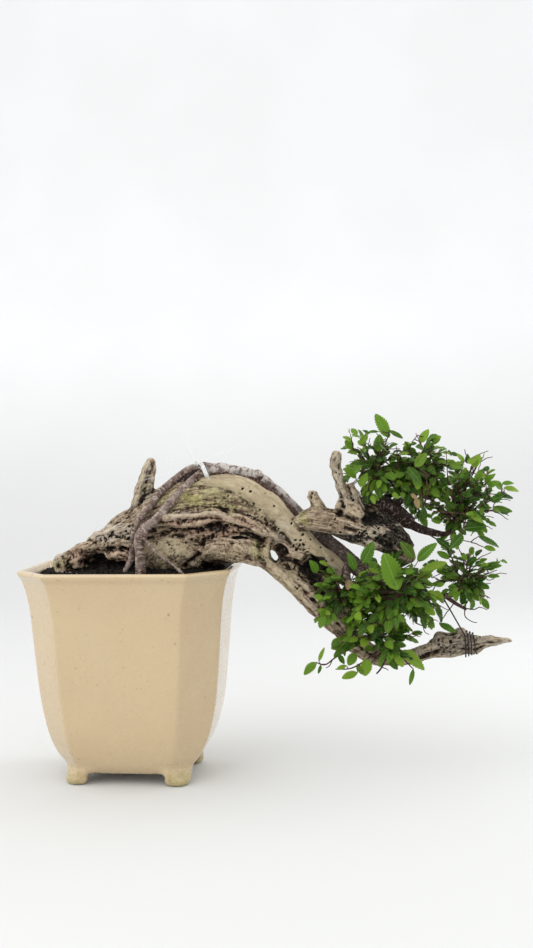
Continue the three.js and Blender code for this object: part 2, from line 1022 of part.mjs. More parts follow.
// Leaves that stand out by themselves: spray, base, tip and width
const leadingLeaves = [
  ['spray_crown_left', [184, -4, 237], [174, -6, 253], 9.5],
  ['spray_crown_left', [169, -14, 218], [157, -18, 220], 8],
  ['spray_crown_left', [161, -14, 210], [153, -18, 217], 7],
  ['spray_crown_left', [164, -18, 204], [168, -20, 213], 6],
  ['spray_crown_top', [196, -26, 217], [205, -30, 207], 7.5],
  ['spray_crown_top', [201, -22, 217], [209, -24, 226], 7],
  ['spray_crown_top', [205, -6, 233], [210, -8, 242], 6],
  ['spray_crown_top', [212, -4, 235], [219, -4, 238], 4.5],
  ['spray_crown_right', [233, -20, 175], [248, -22, 177], 9],
  ['spray_crown_right', [236, -20, 186], [246, -24, 180], 6],
  ['spray_crown_right', [243, -14, 169], [257, -16, 163], 5],
  ['spray_crown_right', [260, -2, 204], [268, -2, 205], 4],
  ['spray_crown_right', [262, 4, 201], [272.5, 4, 199], 5],
  ['spray_crown_right', [259, 8, 195], [269, 10, 195], 4],
  ['spray_crown_right', [254, 0, 188], [267, 0, 184], 5],
  ['spray_crown_right', [232, -22, 171], [224, -30, 163], 7],
  ['spray_front', [165, -30, 153], [174, -34, 167], 9],
  ['spray_front', [189, -36, 137], [179, -40, 160], 14],
  ['spray_front', [199, -30, 156], [192, -34, 168], 8.5],
  ['spray_front', [202, -28, 154], [212, -32, 167], 7.5],
  ['spray_front', [221, -26, 153], [203, -32, 148], 6],
  ['spray_lower_left', [160, -29, 148], [157, -33, 160], 6],
  ['spray_lower_left', [134, -24, 146], [131, -28, 155], 6.5],
  ['spray_lower_right', [249, -8, 146], [256, -10, 151], 6],
  ['spray_lower_right', [216, -14, 110], [227, -16, 104], 5.5],
  ['spray_bottom', [191, -22, 93], [205, -28, 81], 9],
  ['spray_bottom', [200, -18, 79], [194, -20, 69], 4.5],
  ['spray_bottom', [170, -24, 88], [166, -26, 76], 9],
  ['spray_bottom', [160, -18, 76], [149, -20, 72], 6],
  ['spray_bottom', [131, -10, 82], [121, -10, 74.5], 6],
  ['spray_bottom', [133, -10, 84], [136, -10, 94], 3.5],
];

const goldenAngle = Math.PI * (3 - Math.sqrt(5));

// A twig with three sides along a bent path, thinner to its tip
function twig(from, middle, to, startRadius, endRadius, sides = 3, steps = 2) {
  const curve = new THREE.QuadraticBezierCurve3(from, middle, to);
  const rings = [];
  for (let k = 0; k <= steps; k++) {
    const t = k / steps;
    const centre = curve.getPoint(t);
    const along = curve.getTangent(t);
    const reference = Math.abs(along.y) < 0.9 ? back : up;
    const a = reference.clone().cross(along).normalize();
    const b = along.clone().cross(a);
    const radius = startRadius + (endRadius - startRadius) * t;
    rings.push(
      Array.from({ length: sides }, (_, i) => {
        const angle = (2 * Math.PI * i) / sides;
        return centre
          .clone()
          .addScaledVector(a, Math.cos(angle) * radius)
          .addScaledVector(b, Math.sin(angle) * radius);
      }),
    );
  }
  return { curve, solid: loft(rings) };
}

const bowed = (from, to, bow) =>
  from.clone().lerp(to, 0.5).addScaledVector(up, from.distanceTo(to) * bow);

function spray(plan, neighbours) {
  const base = point(...plan.base);
  const aim = point(...plan.aim).normalize();
  const heart = point(...plan.heart);
  const start = base.clone().addScaledVector(aim, seat);
  const knee = start.clone().addScaledVector(aim, start.distanceTo(heart) * 0.45);
  const limbTwig = twig(start, knee, heart, limbStart, limbEnd, 5);
  const clear = (solid, others, gap) =>
    others.every((other) => solid.minGap(other, near) >= gap);
  const fits = (solid) => clear(solid, neighbours, seat - 0.05);
  const shoots = [limbTwig];
  const blades = [];

  // A leaf stays where it is clear of the neighbours, the other leaves and every twig but its own
  function addLeaf(own, root, direction, facing, length, width) {
    const blade = leaf(root, direction, facing, length, width);
    const others = shoots.filter((shoot) => shoot !== own).map((shoot) => shoot.solid);
    if (!fits(blade) || !clear(blade, [...blades, ...others], 0.05)) return false;
    blades.push(blade);
    return true;
  }

  const stalks = leadingLeaves
    .filter(([owner]) => owner === plan.name)
    .map(([, from, to, width], n) => {
      const root = point(...from);
      const fork = limbTwig.curve.getPoint(0.95 - 0.09 * n);
      const stalk = twig(fork, bowed(fork, root, 0), root, twigRadius, stalkTip, 3, 1);
      return { stalk, root, direction: point(...to).sub(root), width };
    })
    .filter(({ stalk }) => fits(stalk.solid));
  shoots.push(...stalks.map(({ stalk }) => stalk));

  const fans = [];
  for (let i = 0; i < plan.shoots; i++) {
    const level = 1 - (2 * (i + 0.5)) / plan.shoots;
    const turn = i * goldenAngle + plan.seed;
    const flat = Math.sqrt(1 - level * level);
    const spread = 0.82 + 0.22 * draw(plan.seed, i, 1);
    const tip = heart.clone();
    tip.x += plan.reach[0] * flat * Math.cos(turn) * spread;
    tip.y += plan.reach[1] * flat * Math.sin(turn) * spread;
    tip.z += plan.reach[2] * level * spread;
    const fork = limbTwig.curve.getPoint(0.3 + (0.66 * (i + draw(plan.seed, i, 2))) / plan.shoots);
    const shoot = twig(fork, bowed(fork, tip, 0.16), tip, twigRadius, twigTip);
    if (fits(shoot.solid)) fans.push({ shoot, i });
  }
  shoots.push(...fans.map(({ shoot }) => shoot));

  for (const { stalk, root, direction, width } of stalks) {
    addLeaf(stalk, root, direction, point(0.2, -1, 0.7), direction.length() + leafRoot, width);
  }

  for (const { shoot, i } of fans) {
    for (let j = 0; j <= plan.leaves; j++) {
      const item = i * 20 + j;
      const last = j === plan.leaves;
      const t = last ? 0.985 : 0.3 + (0.62 * (j + draw(plan.seed, item, 3) * 0.6)) / plan.leaves;
      const root = shoot.curve.getPoint(t);
      const along = shoot.curve.getTangent(t);
      const outward = root.clone().sub(heart).normalize();
      const sideways = along.clone().cross(up).normalize();
      if (j % 2) sideways.negate();
      const direction = along.clone().addScaledVector(sideways, last ? 0.15 : 0.95);
      direction.z += 0.5 * (draw(plan.seed, item, 4) - 0.6);
      const facing = point(0, -0.35, 0.75).addScaledVector(outward, 0.55);
      facing.x += 0.7 * (draw(plan.seed, item, 5) - 0.5);
      facing.y += 0.7 * (draw(plan.seed, item, 6) - 0.5);
      const length = plan.leafLength * (0.72 + 0.5 * draw(plan.seed, item, 7));
      addLeaf(shoot, root, direction, facing, length, length * 0.56);
    }
  }
  return mainBody(join([...shoots.map((shoot) => shoot.solid), ...blades]));
}

// Assembly

const tie = tieBand(0);
const live = mainBody(join(limbs(liveLimbs)));
const liveRoom = limbs(liveLimbs, seat + 0.08);
const wire = guyWire();

const aboveSoil = cut(join(limbs(deadLimbs)), [...hollows.map(ellipsoid), soilBody(seat + 0.1)]);
const dead = mainBody(cut(join([aboveSoil, ...limbs([rootPost])]), [...liveRoom, tieBand(seat)]));

const soil = mainBody(cut(soilBody(0), [...limbs([rootPost], seat + 0.08), ...liveRoom]));

const finishes = {
  glaze: { color: 0xd6bf98, roughness: 0.25, metalness: 0 },
  earth: { color: 0x1d1713, roughness: 0.95, metalness: 0 },
  oldWood: { color: 0xa0927a, roughness: 0.85, metalness: 0 },
  bark: { color: 0x75645c, roughness: 0.9, metalness: 0 },
  leaf: { color: 0x3f7a24, roughness: 0.5, metalness: 0 },
  whiteBand: { color: 0xf2f2ee, roughness: 0.5, metalness: 0 },
  wire: { color: 0x2a2624, roughness: 0.5, metalness: 0.6 },
  screen: { color: 0x25302a, roughness: 0.6, metalness: 0 },
};

const whole = new THREE.Group();

function place(name, solid, finish) {
  const mesh = new THREE.Mesh(toGeometry(solid), new THREE.MeshStandardMaterial(finishes[finish]));
  mesh.name = name;
  whole.add(mesh);
}

place('pot', pot(), 'glaze');
place('drain_screen', drainScreen(), 'screen');
place('soil', soil, 'earth');
place('deadwood', dead, 'oldWood');
place('live_stem', live, 'bark');
place('tie_band', tie, 'whiteBand');
place('guy_wire', wire, 'wire');

const built = [live, dead, wire, tie, pot()];
for (const plan of sprays) {
  const solid = spray(plan, built);
  built.push(solid);
  place(plan.name, solid, 'leaf');
}

// The origin is on the floor, under the middle of the whole
const box = new THREE.Box3().setFromObject(whole);
const middle = box.getCenter(point(0, 0, 0));
whole.position.set(-middle.x, -middle.y, -box.min.z);

const group = new THREE.Group();
group.add(whole);

export default group;
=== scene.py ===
import math

import bpy
import numpy as np
from mathutils import Matrix, Vector


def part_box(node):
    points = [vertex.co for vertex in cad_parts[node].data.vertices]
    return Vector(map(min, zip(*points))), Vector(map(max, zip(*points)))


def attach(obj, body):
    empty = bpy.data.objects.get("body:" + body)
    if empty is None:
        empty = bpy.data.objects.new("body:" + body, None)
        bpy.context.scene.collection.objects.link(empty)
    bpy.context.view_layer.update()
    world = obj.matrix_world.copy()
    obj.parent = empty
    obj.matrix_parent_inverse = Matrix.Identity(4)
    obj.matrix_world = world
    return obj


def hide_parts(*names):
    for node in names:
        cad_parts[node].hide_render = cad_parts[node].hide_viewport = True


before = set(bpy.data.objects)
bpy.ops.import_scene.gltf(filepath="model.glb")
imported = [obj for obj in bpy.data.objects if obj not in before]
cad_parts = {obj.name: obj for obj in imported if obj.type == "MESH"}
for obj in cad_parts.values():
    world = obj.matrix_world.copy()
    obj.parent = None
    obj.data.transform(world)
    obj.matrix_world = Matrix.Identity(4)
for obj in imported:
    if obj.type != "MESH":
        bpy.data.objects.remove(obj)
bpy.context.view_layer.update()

# Paths below are in millimetres from the floor under the pot's centre, X to the right and Y to the back.
mm = 0.001
potLow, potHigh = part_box("pot")
potCentre = np.array([(potLow.x + potHigh.x) / 2, (potLow.y + potHigh.y) / 2, 0.0])
goldenAngle = math.pi * (3 - math.sqrt(5))
depsgraph = bpy.context.evaluated_depsgraph_get


# Millimetres from the pot to the scene's metres, and back
def toScene(points):
    return np.asarray(points, float) * mm + potCentre


def toPot(points):
    return (np.asarray(points, float) - potCentre) / mm


# Vectors divided by their lengths
def unit(vectors):
    return vectors / np.maximum(np.linalg.norm(vectors, axis=-1, keepdims=True), 1e-9)


# From 0 at low to 1 at high, eased at both ends
def smoothStep(low, high, value):
    t = np.clip((value - low) / (high - low), 0, 1)
    return t * t * (3 - 2 * t)


# A number from 0 to 1 that is always the same for the same seed, item and use
def draw(seed, item, use):
    value = np.sin(seed * 12.9898 + item * 78.233 + use * 37.719) * 43758.5453
    return value - np.floor(value)


# Smooth random hills from -1 to 1: a scrambled number at each corner of a lattice, eased in between
def hills(points, size, seed=0):
    place = points / size
    corner = np.floor(place).astype(np.int64)
    part = place - corner
    part = part * part * (3 - 2 * part)
    total = np.zeros(len(points))
    for dx in (0, 1):
        for dy in (0, 1):
            for dz in (0, 1):
                share = (part[:, 0] if dx else 1 - part[:, 0]) * (part[:, 1] if dy else 1 - part[:, 1])
                share = share * (part[:, 2] if dz else 1 - part[:, 2])
                x, y, z = corner[:, 0] + dx, corner[:, 1] + dy, corner[:, 2] + dz
                mixed = x * 374761393 + y * 668265263 + z * 1442695041 + seed * 1274126177
                mixed = (mixed ^ (mixed >> 13)) * 1103515245
                total += share * (((mixed ^ (mixed >> 16)) & 65535) / 32767.5 - 1)
    return total


# Hills on hills: each layer half the size and half the height of the one before
def rough(points, size, layers, seed=0):
    return sum(hills(points, size / 2**i, seed + i * 7) / 2**i for i in range(layers))


# Meshes


# Quads between each ring and the next; wrap joins the last ring to the first
def ringFaces(rings, sides, wrap=False):
    ring = np.arange(rings if wrap else rings - 1)[:, None]
    side = np.arange(sides)[None]
    after = (side + 1) % sides
    above = (ring + 1) % rings
    quads = [ring * sides + side, ring * sides + after, above * sides + after, above * sides + side]
    return np.stack(quads, -1).reshape(-1, 4)


# A closed skin over rings (rings x sides x 3): quads in between and a fan of triangles at both ends
def closedSkin(rings):
    count, sides = rings.shape[:2]
    side = np.arange(sides)
    after = (side + 1) % sides
    first = np.full(sides, count * sides)
    last = (count - 1) * sides
    fans = [np.stack([first, after, side], -1), np.stack([first + 1, last + side, last + after], -1)]
    points = np.concatenate([rings.reshape(-1, 3), rings[:1].mean(1), rings[-1:].mean(1)])
    return points, [ringFaces(count, sides), *fans]


# The same for many rows of rings at once (skins x rings x sides x 3); ends are their first and last points
def manySkins(rings, ends=None):
    count, steps, sides = rings.shape[:3]
    if ends is None:
        ends = np.stack([rings[:, 0].mean(1), rings[:, -1].mean(1)], 1)
    points = np.concatenate([rings.reshape(count, -1, 3), ends], 1)
    start = (np.arange(count) * (steps * sides + 2))[:, None, None]
    groups = closedSkin(rings[0])[1]
    return points.reshape(-1, 3), [(group[None] + start).reshape(-1, group.shape[1]) for group in groups]


# Tubes: a round section carried along each path (paths x steps x 3), with radii (paths x steps)
def tubes(paths, radii, sides=5):
    along = unit(np.gradient(paths, axis=1))
    reference = np.where(np.abs(along[..., 1:2]) < 0.9, [0.0, 1.0, 0.0], [0.0, 0.0, 1.0])
    across = unit(np.cross(reference, along))
    depth = np.cross(along, across)
    angle = np.linspace(0, 2 * math.pi, sides, endpoint=False)[:, None]
    ring = across[:, :, None] * np.cos(angle) + depth[:, :, None] * np.sin(angle)
    return manySkins(paths[:, :, None] + ring * radii[:, :, None, None])


# One list of points and faces out of several
def stack(parts):
    points, faces, start = [], [], 0
    for partPoints, groups in parts:
        points.append(partPoints)
        for group in groups:
            faces.extend((np.asarray(group) + start).tolist())
        start += len(partPoints)
    return np.concatenate(points), faces


def newMesh(name, points, faces):
    mesh = bpy.data.meshes.new(name)
    mesh.from_pydata(toScene(points), [], faces)
    mesh.validate()
    mesh.shade_smooth()
    return mesh


def newObject(name, mesh):
    obj = bpy.data.objects.new(name, mesh)
    bpy.context.scene.collection.objects.link(obj)
    return obj


def pointsOf(mesh):
    flat = np.zeros(len(mesh.vertices) * 3, np.float32)
    mesh.vertices.foreach_get("co", flat)
    return toPot(flat.reshape(-1, 3))


def normalsOf(mesh):
    flat = np.zeros(len(mesh.vertices) * 3, np.float32)
    mesh.vertex_normals.foreach_get("vector", flat)
    return flat.reshape(-1, 3).astype(float)


def movePoints(mesh, points):
    mesh.vertices.foreach_set("co", toScene(points).astype(np.float32).ravel())
    mesh.update()


def keepNumber(mesh, name, values):
    attribute = mesh.attributes.new(name, "FLOAT", "POINT")
    attribute.data.foreach_set("value", np.asarray(values, np.float32))


def keepPlace(mesh, name, values):
    attribute = mesh.attributes.new(name, "FLOAT_VECTOR", "POINT")
    attribute.data.foreach_set("vector", np.asarray(values, np.float32).ravel())


# A finished piece rides on the pot's body and stands for its CAD nodes
def finish(obj, material, nodes=()):
    if material is not None:
        obj.data.materials.append(material)
    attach(obj, "root")
    if nodes:
        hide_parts(*nodes)
    print(f"{obj.name}: {len(obj.data.polygons)} faces")


# The mesh that an object's modifiers give; the object itself is removed
def applied(obj):
    bpy.context.view_layer.update()
    mesh = bpy.data.meshes.new_from_object(obj.evaluated_get(depsgraph()))
    bpy.data.objects.remove(obj)
    return mesh


# One even skin round overlapping closed forms, less the cutters, softened a little
def oneSkin(name, parts, voxel, cutters=(), softening=1):
    obj = newObject(name, newMesh(name, *stack(parts)))
    tools = []

    def even():
        remesh = obj.modifiers.new("even", "REMESH")
        remesh.mode = "VOXEL"
        remesh.voxel_size = voxel * mm

    even()
    if cutters:
        tools = [newObject("cutter", newMesh("cutter", *stack(cutters)))]
        hole = obj.modifiers.new("hollows", "BOOLEAN")
        hole.operation = "DIFFERENCE"
        hole.solver = "EXACT"
        hole.use_self = True
        hole.object = tools[0]
        even()
    soft = obj.modifiers.new("soft", "SMOOTH")
    soft.factor = 0.5
    soft.iterations = softening
    mesh = applied(obj)
    for tool in tools:
        bpy.data.objects.remove(tool)
    mesh.shade_smooth()
    return mesh


# Points moved towards the mean of their neighbours, so many times over
def relaxed(mesh, points, times):
    ends = np.zeros(len(mesh.edges) * 2, np.int32)
    mesh.edges.foreach_get("vertices", ends)
    a, b = ends.reshape(-1, 2).T
    count = np.bincount(np.concatenate([a, b]), minlength=len(points))[:, None]
    for _ in range(times):
        total = np.zeros_like(points)
        for axis in range(3):
            total[:, axis] = np.bincount(a, points[b, axis], len(points))
            total[:, axis] += np.bincount(b, points[a, axis], len(points))
        points = points * 0.3 + total / np.maximum(count, 1) * 0.7
    return points


# How deep each point lies in a groove of about that width, in millimetres
def grooveDepth(mesh, points, normals, times):
    return ((relaxed(mesh, points, times) - points) * normals).sum(1)


# Limbs

limbShape = {
    "finer": 3,  # rings for each step of a limb's path
    "twist": 0.25,  # turn of the grooves from step to step
    "tipReach": 0.35,  # how far a tip stands out, as a share of its radius
    "tipShare": 0.4,
}


# A limb's steps and path: rows of x, y, z, radius across the picture and radius in depth
def makeLimb(steps, path, flute=0.0, phase=0.0):
    return {"steps": steps, "path": path, "flute": flute, "phase": phase}


# A smooth path through rows of x, y, z, radius across the picture and radius in depth
def smoothPath(rows, steps):
    rows = np.array([[*row, row[3]] if len(row) == 4 else row for row in rows], float)
    place = np.linspace(0, len(rows) - 1, steps + 1)
    start = np.minimum(place.astype(int), len(rows) - 2)
    t = (place - start)[:, None]
    a, b, c, d = (rows[np.clip(start + i, 0, len(rows) - 1)] for i in (-1, 0, 1, 2))
    pull = 2 * a - 5 * b + 4 * c - d
    turn = 3 * b - a - 3 * c + d
    return 0.5 * (2 * b + (c - a) * t + pull * t**2 + turn * t**3)


# A limb's middle line, radii and run, with the three directions at each ring: along, across and in depth
def limbFrame(limb, finer):
    path = smoothPath(limb["path"], limb["steps"] * finer)
    centre = path[:, :3]
    first, last = [centre[1] - centre[0]], [centre[-1] - centre[-2]]
    along = unit(np.concatenate([first, centre[2:] - centre[:-2], last]))
    across = unit(np.cross([0.0, 1.0, 0.0], along))
    run = np.concatenate([[0], np.cumsum(np.linalg.norm(np.diff(centre, axis=0), axis=1))])
    return {"centre": centre, "radii": path[:, 3:5], "run": run, "along": along, "across": across,
            "depth": np.cross(along, across)}


# The skin of a limb: an ellipse carried along its path, with grooves that run along it and turn slowly;
# its ends are drawn in to a rounded tip
def limbSkin(limb, sides=20):
    look = limbShape
    held = limbFrame(limb, look["finer"])
    centre, along, radii = held["centre"], held["along"], held["radii"]
    angle = np.linspace(0, 2 * math.pi, sides, endpoint=False)
    twist = np.arange(len(centre))[:, None] / look["finer"] * look["twist"]
    grooves = np.sin(3 * angle + limb["phase"] + twist) + 0.6 * np.sin(5 * angle - limb["phase"])
    size = 1 + limb["flute"] * grooves
    reach = (np.cos(angle) * size * radii[:, :1])[..., None]
    lift = (np.sin(angle) * size * radii[:, 1:])[..., None]
    rings = centre[:, None] + held["across"][:, None] * reach + held["depth"][:, None] * lift
    tips = [centre[0] - along[0] * radii[0].min() * look["tipReach"],
            centre[-1] + along[-1] * radii[-1].min() * look["tipReach"]]
    share = look["tipShare"]
    start, end = (ring * (1 - share) + tip * share for ring, tip in zip((rings[:1], rings[-1:]), tips))
    return closedSkin(np.concatenate([start, rings, end]))


# For points near a limb: closeness to its skin from 0 to 1, and their place in the straightened limb
def besideLimb(points, limb, sharp):
    held = limbFrame(limb, 2)
    radii = held["radii"]
    gap = ((points[:, None] - held["centre"][None]) ** 2).sum(-1) / (radii.mean(1) ** 2)[None]
    near = gap.argmin(1)
    offset = points - held["centre"][near]
    u = (offset * held["across"][near]).sum(1)
    v = (offset * held["depth"][near]).sum(1)
    s = held["run"][near] + (offset * held["along"][near]).sum(1)
    radius = np.hypot(u / radii[near, 0], v / radii[near, 1])
    over = np.maximum(0, np.maximum(-s, s - held["run"][-1])) / radii.mean()
    closeness = np.exp(-((radius - 1) ** 2 + over**2) * sharp)
    return closeness, np.stack([u, v, s], 1)


# Noise drawn out along the wood: each limb is straightened and squeezed lengthwise, hills are read
# there, and where limbs meet their values are mixed by how close each limb's skin is
def grainNoise(points, limbs, layers):
    share = np.full(len(points), 1e-4)
    result = np.zeros((len(layers), len(points)))
    for number, limb in enumerate(limbs):
        closeness, straight = besideLimb(points, limb, 9)
        some = closeness > 0.01
        if not some.any():
            continue
        share[some] += closeness[some]
        for i, (size, stretch, ridged) in enumerate(layers):
            place = straight[some] * [1, 1, 1 / stretch] + number * 31.7
            value = hills(place, size, 11 + i) + 0.4 * hills(place, size * 0.47, 41 + i)
            result[i, some] += closeness[some] * (0.6 - 2 * np.abs(value) if ridged else value)
    return result / share


# Each point's place in the straightened limb whose skin is nearest, for fine grain in the material
def grainPlace(points, limbs):
    best = np.full(len(points), -1.0)
    place = points.copy()
    for number, limb in enumerate(limbs):
        closeness, straight = besideLimb(points, limb, 5)
        nearer = closeness > best
        best[nearer] = closeness[nearer]
        place[nearer] = straight[nearer] + number * 17.3
    return place


# Ridges and creases drawn on the front or the back: height times a bell curve of the distance to a path, as
# seen from the front
def strokes(points, normals, table):
    total = np.zeros(len(points))
    seenPoints = points[:, [0, 2]]
    for side, rows in table.items():
        facing = smoothStep(0.0, 0.45, normals[:, 1] * (1 if side == "back" else -1))
        for width, height, path in rows:
            path = np.array(path, float)
            best = np.full(len(points), 1e9)
            for a, b in zip(path[:-1], path[1:]):
                along = b - a
                t = np.clip(((seenPoints - a) @ along) / (along @ along), 0, 1)
                best = np.minimum(best, np.linalg.norm(seenPoints - (a + t[:, None] * along), axis=1))
            total += height * np.exp(-((best / width) ** 2)) * facing
    return total


# How strongly a patch of colour holds at each point: a bell curve round its middle, its edge broken by hills
def patches(points, spots):
    total = np.zeros(len(points))
    ragged = rough(points, 7, 3, 5)
    for middle, reach, strength in spots:
        away = (((points - middle) / reach) ** 2).sum(1)
        total = np.maximum(total, strength * smoothStep(1.35, 0.45, away + 0.7 * ragged))
    return total


# Materials


class Shader:
    # A material's nodes, with short ways to add and join them; shine is how much its surface mirrors
    def __init__(self, name, shine=0.5):
        self.material = bpy.data.materials.new(name)
        self.material.use_nodes = True
        self.tree = self.material.node_tree
        self.surface = self.tree.nodes["Principled BSDF"]
        self.surface.inputs["Specular IOR Level"].default_value = shine
        self.place = self.add("ShaderNodeTexCoord").outputs["Object"]

    def add(self, kind, inputs=None, **settings):
        node = self.tree.nodes.new(kind)
        for key, value in settings.items():
            setattr(node, key, value)
        for key, value in (inputs or {}).items():
            self.put(node.inputs[key], value)
        return node

    def put(self, socket, value):
        if isinstance(value, bpy.types.NodeSocket):
            self.tree.links.new(value, socket)
        elif isinstance(value, (tuple, list)) and socket.type == "RGBA" and len(value) == 3:
            socket.default_value = (*value, 1)
        else:
            socket.default_value = value

    def stretched(self, scale, vector=None):
        return self.add("ShaderNodeMapping", {"Vector": vector or self.place, "Scale": scale}).outputs[0]

    def number(self, name):
        return self.add("ShaderNodeAttribute", attribute_name=name).outputs["Fac"]

    def noise(self, scale, detail=4, roughness=0.6, vector=None, distortion=0):
        inputs = {"Vector": vector or self.place, "Scale": scale, "Detail": detail}
        inputs.update({"Roughness": roughness, "Distortion": distortion})
        return self.add("ShaderNodeTexNoise", inputs).outputs["Fac"]

    def cells(self, scale):
        return self.add("ShaderNodeTexVoronoi", {"Vector": self.place, "Scale": scale})

    def math(self, operation, a, b=0.0):
        return self.add("ShaderNodeMath", {0: a, 1: b}, operation=operation).outputs[0]

    def times(self, a, b):
        return self.math("MULTIPLY", a, b)

    # The sum of values, each times its weight, and a last plain number
    def total(self, *terms, plus=0.0):
        parts = [value if weight == 1 else self.times(value, weight) for value, weight in terms]
        result = parts[0]
        for part in [*parts[1:], *([plus] if plus else [])]:
            result = self.math("ADD", result, part)
        return result

    def between(self, value, low, high, to=(0, 1)):
        inputs = {"Value": value, "From Min": low, "From Max": high, "To Min": to[0], "To Max": to[1]}
        return self.add("ShaderNodeMapRange", inputs, interpolation_type="SMOOTHSTEP").outputs[0]

    def mix(self, share, a, b, blend="MIX"):
        node = self.add("ShaderNodeMix", data_type="RGBA", blend_type=blend)
        self.put(node.inputs[0], share)
        self.put(node.inputs[6], a)
        self.put(node.inputs[7], b)
        return node.outputs[2]

    # Colours laid over the first one by one: each where its value runs from low to high, up to a share
    def coats(self, colour, look, *rows):
        for value, low, high, share, tint in rows:
            colour = self.mix(self.between(value, low, high, (0, share)), colour, look[tint])
        return colour

    # Colours laid over the first by a value times a share
    def films(self, colour, look, *rows):
        for value, share, tint in rows:
            colour = self.mix(self.times(value, share), colour, look[tint])
        return colour

    def ramp(self, value, *stops):
        node = self.add("ShaderNodeValToRGB", {0: value})
        while len(node.color_ramp.elements) < len(stops):
            node.color_ramp.elements.new(0.5)
        for element, (position, colour) in zip(node.color_ramp.elements, stops):
            element.position = position
            element.color = (*colour, 1)
        return node.outputs[0]

    def bump(self, height, strength, distance):
        inputs = {"Height": height, "Strength": strength, "Distance": distance}
        return self.add("ShaderNodeBump", inputs).outputs[0]

    def done(self, **inputs):
        names = {"colour": "Base Color", "roughness": "Roughness", "normal": "Normal", "coat": "Coat Weight",
                 "coatRoughness": "Coat Roughness", "alpha": "Alpha", "scatter": "Subsurface Weight"}
        for key, value in inputs.items():
            self.put(self.surface.inputs[names[key]], value)
        return self.material


# A colour as it looks on a screen, given from 0 to 255, turned into the light that it stands for
def seen(red, green, blue):
    value = np.array([red, green, blue]) / 255
    return tuple(np.where(value <= 0.04045, value / 12.92, ((value + 0.055) / 1.055) ** 2.4).tolist())


# Old wood

oldWood = {
    "firstVoxel": 1.1,  # skin before the strokes and hollows, in millimetres
    "voxel": 0.9,
    "coarseGrain": 0.52,  # height of the broad grooves along the grain, in millimetres
    "fineGrain": 0.38,
    "fibres": 0.22,
    "lumps": 0.8,
    "chips": 0.4,
    "speckles": 0.28,
    "holeDepth": 1.3,
    "pale": seen(192, 177, 154),
    "middle": seen(148, 131, 109),
    "brown": seen(100, 82, 66),
    "deep": seen(40, 28, 20),
    "cream": seen(190, 176, 144),
    "olive": seen(142, 136, 96),
    "moss": seen(106, 104, 60),
    "red": seen(112, 86, 74),
    "grey": seen(138, 132, 120),
    "black": seen(9, 7, 5),
    "chalk": seen(206, 194, 180),
}

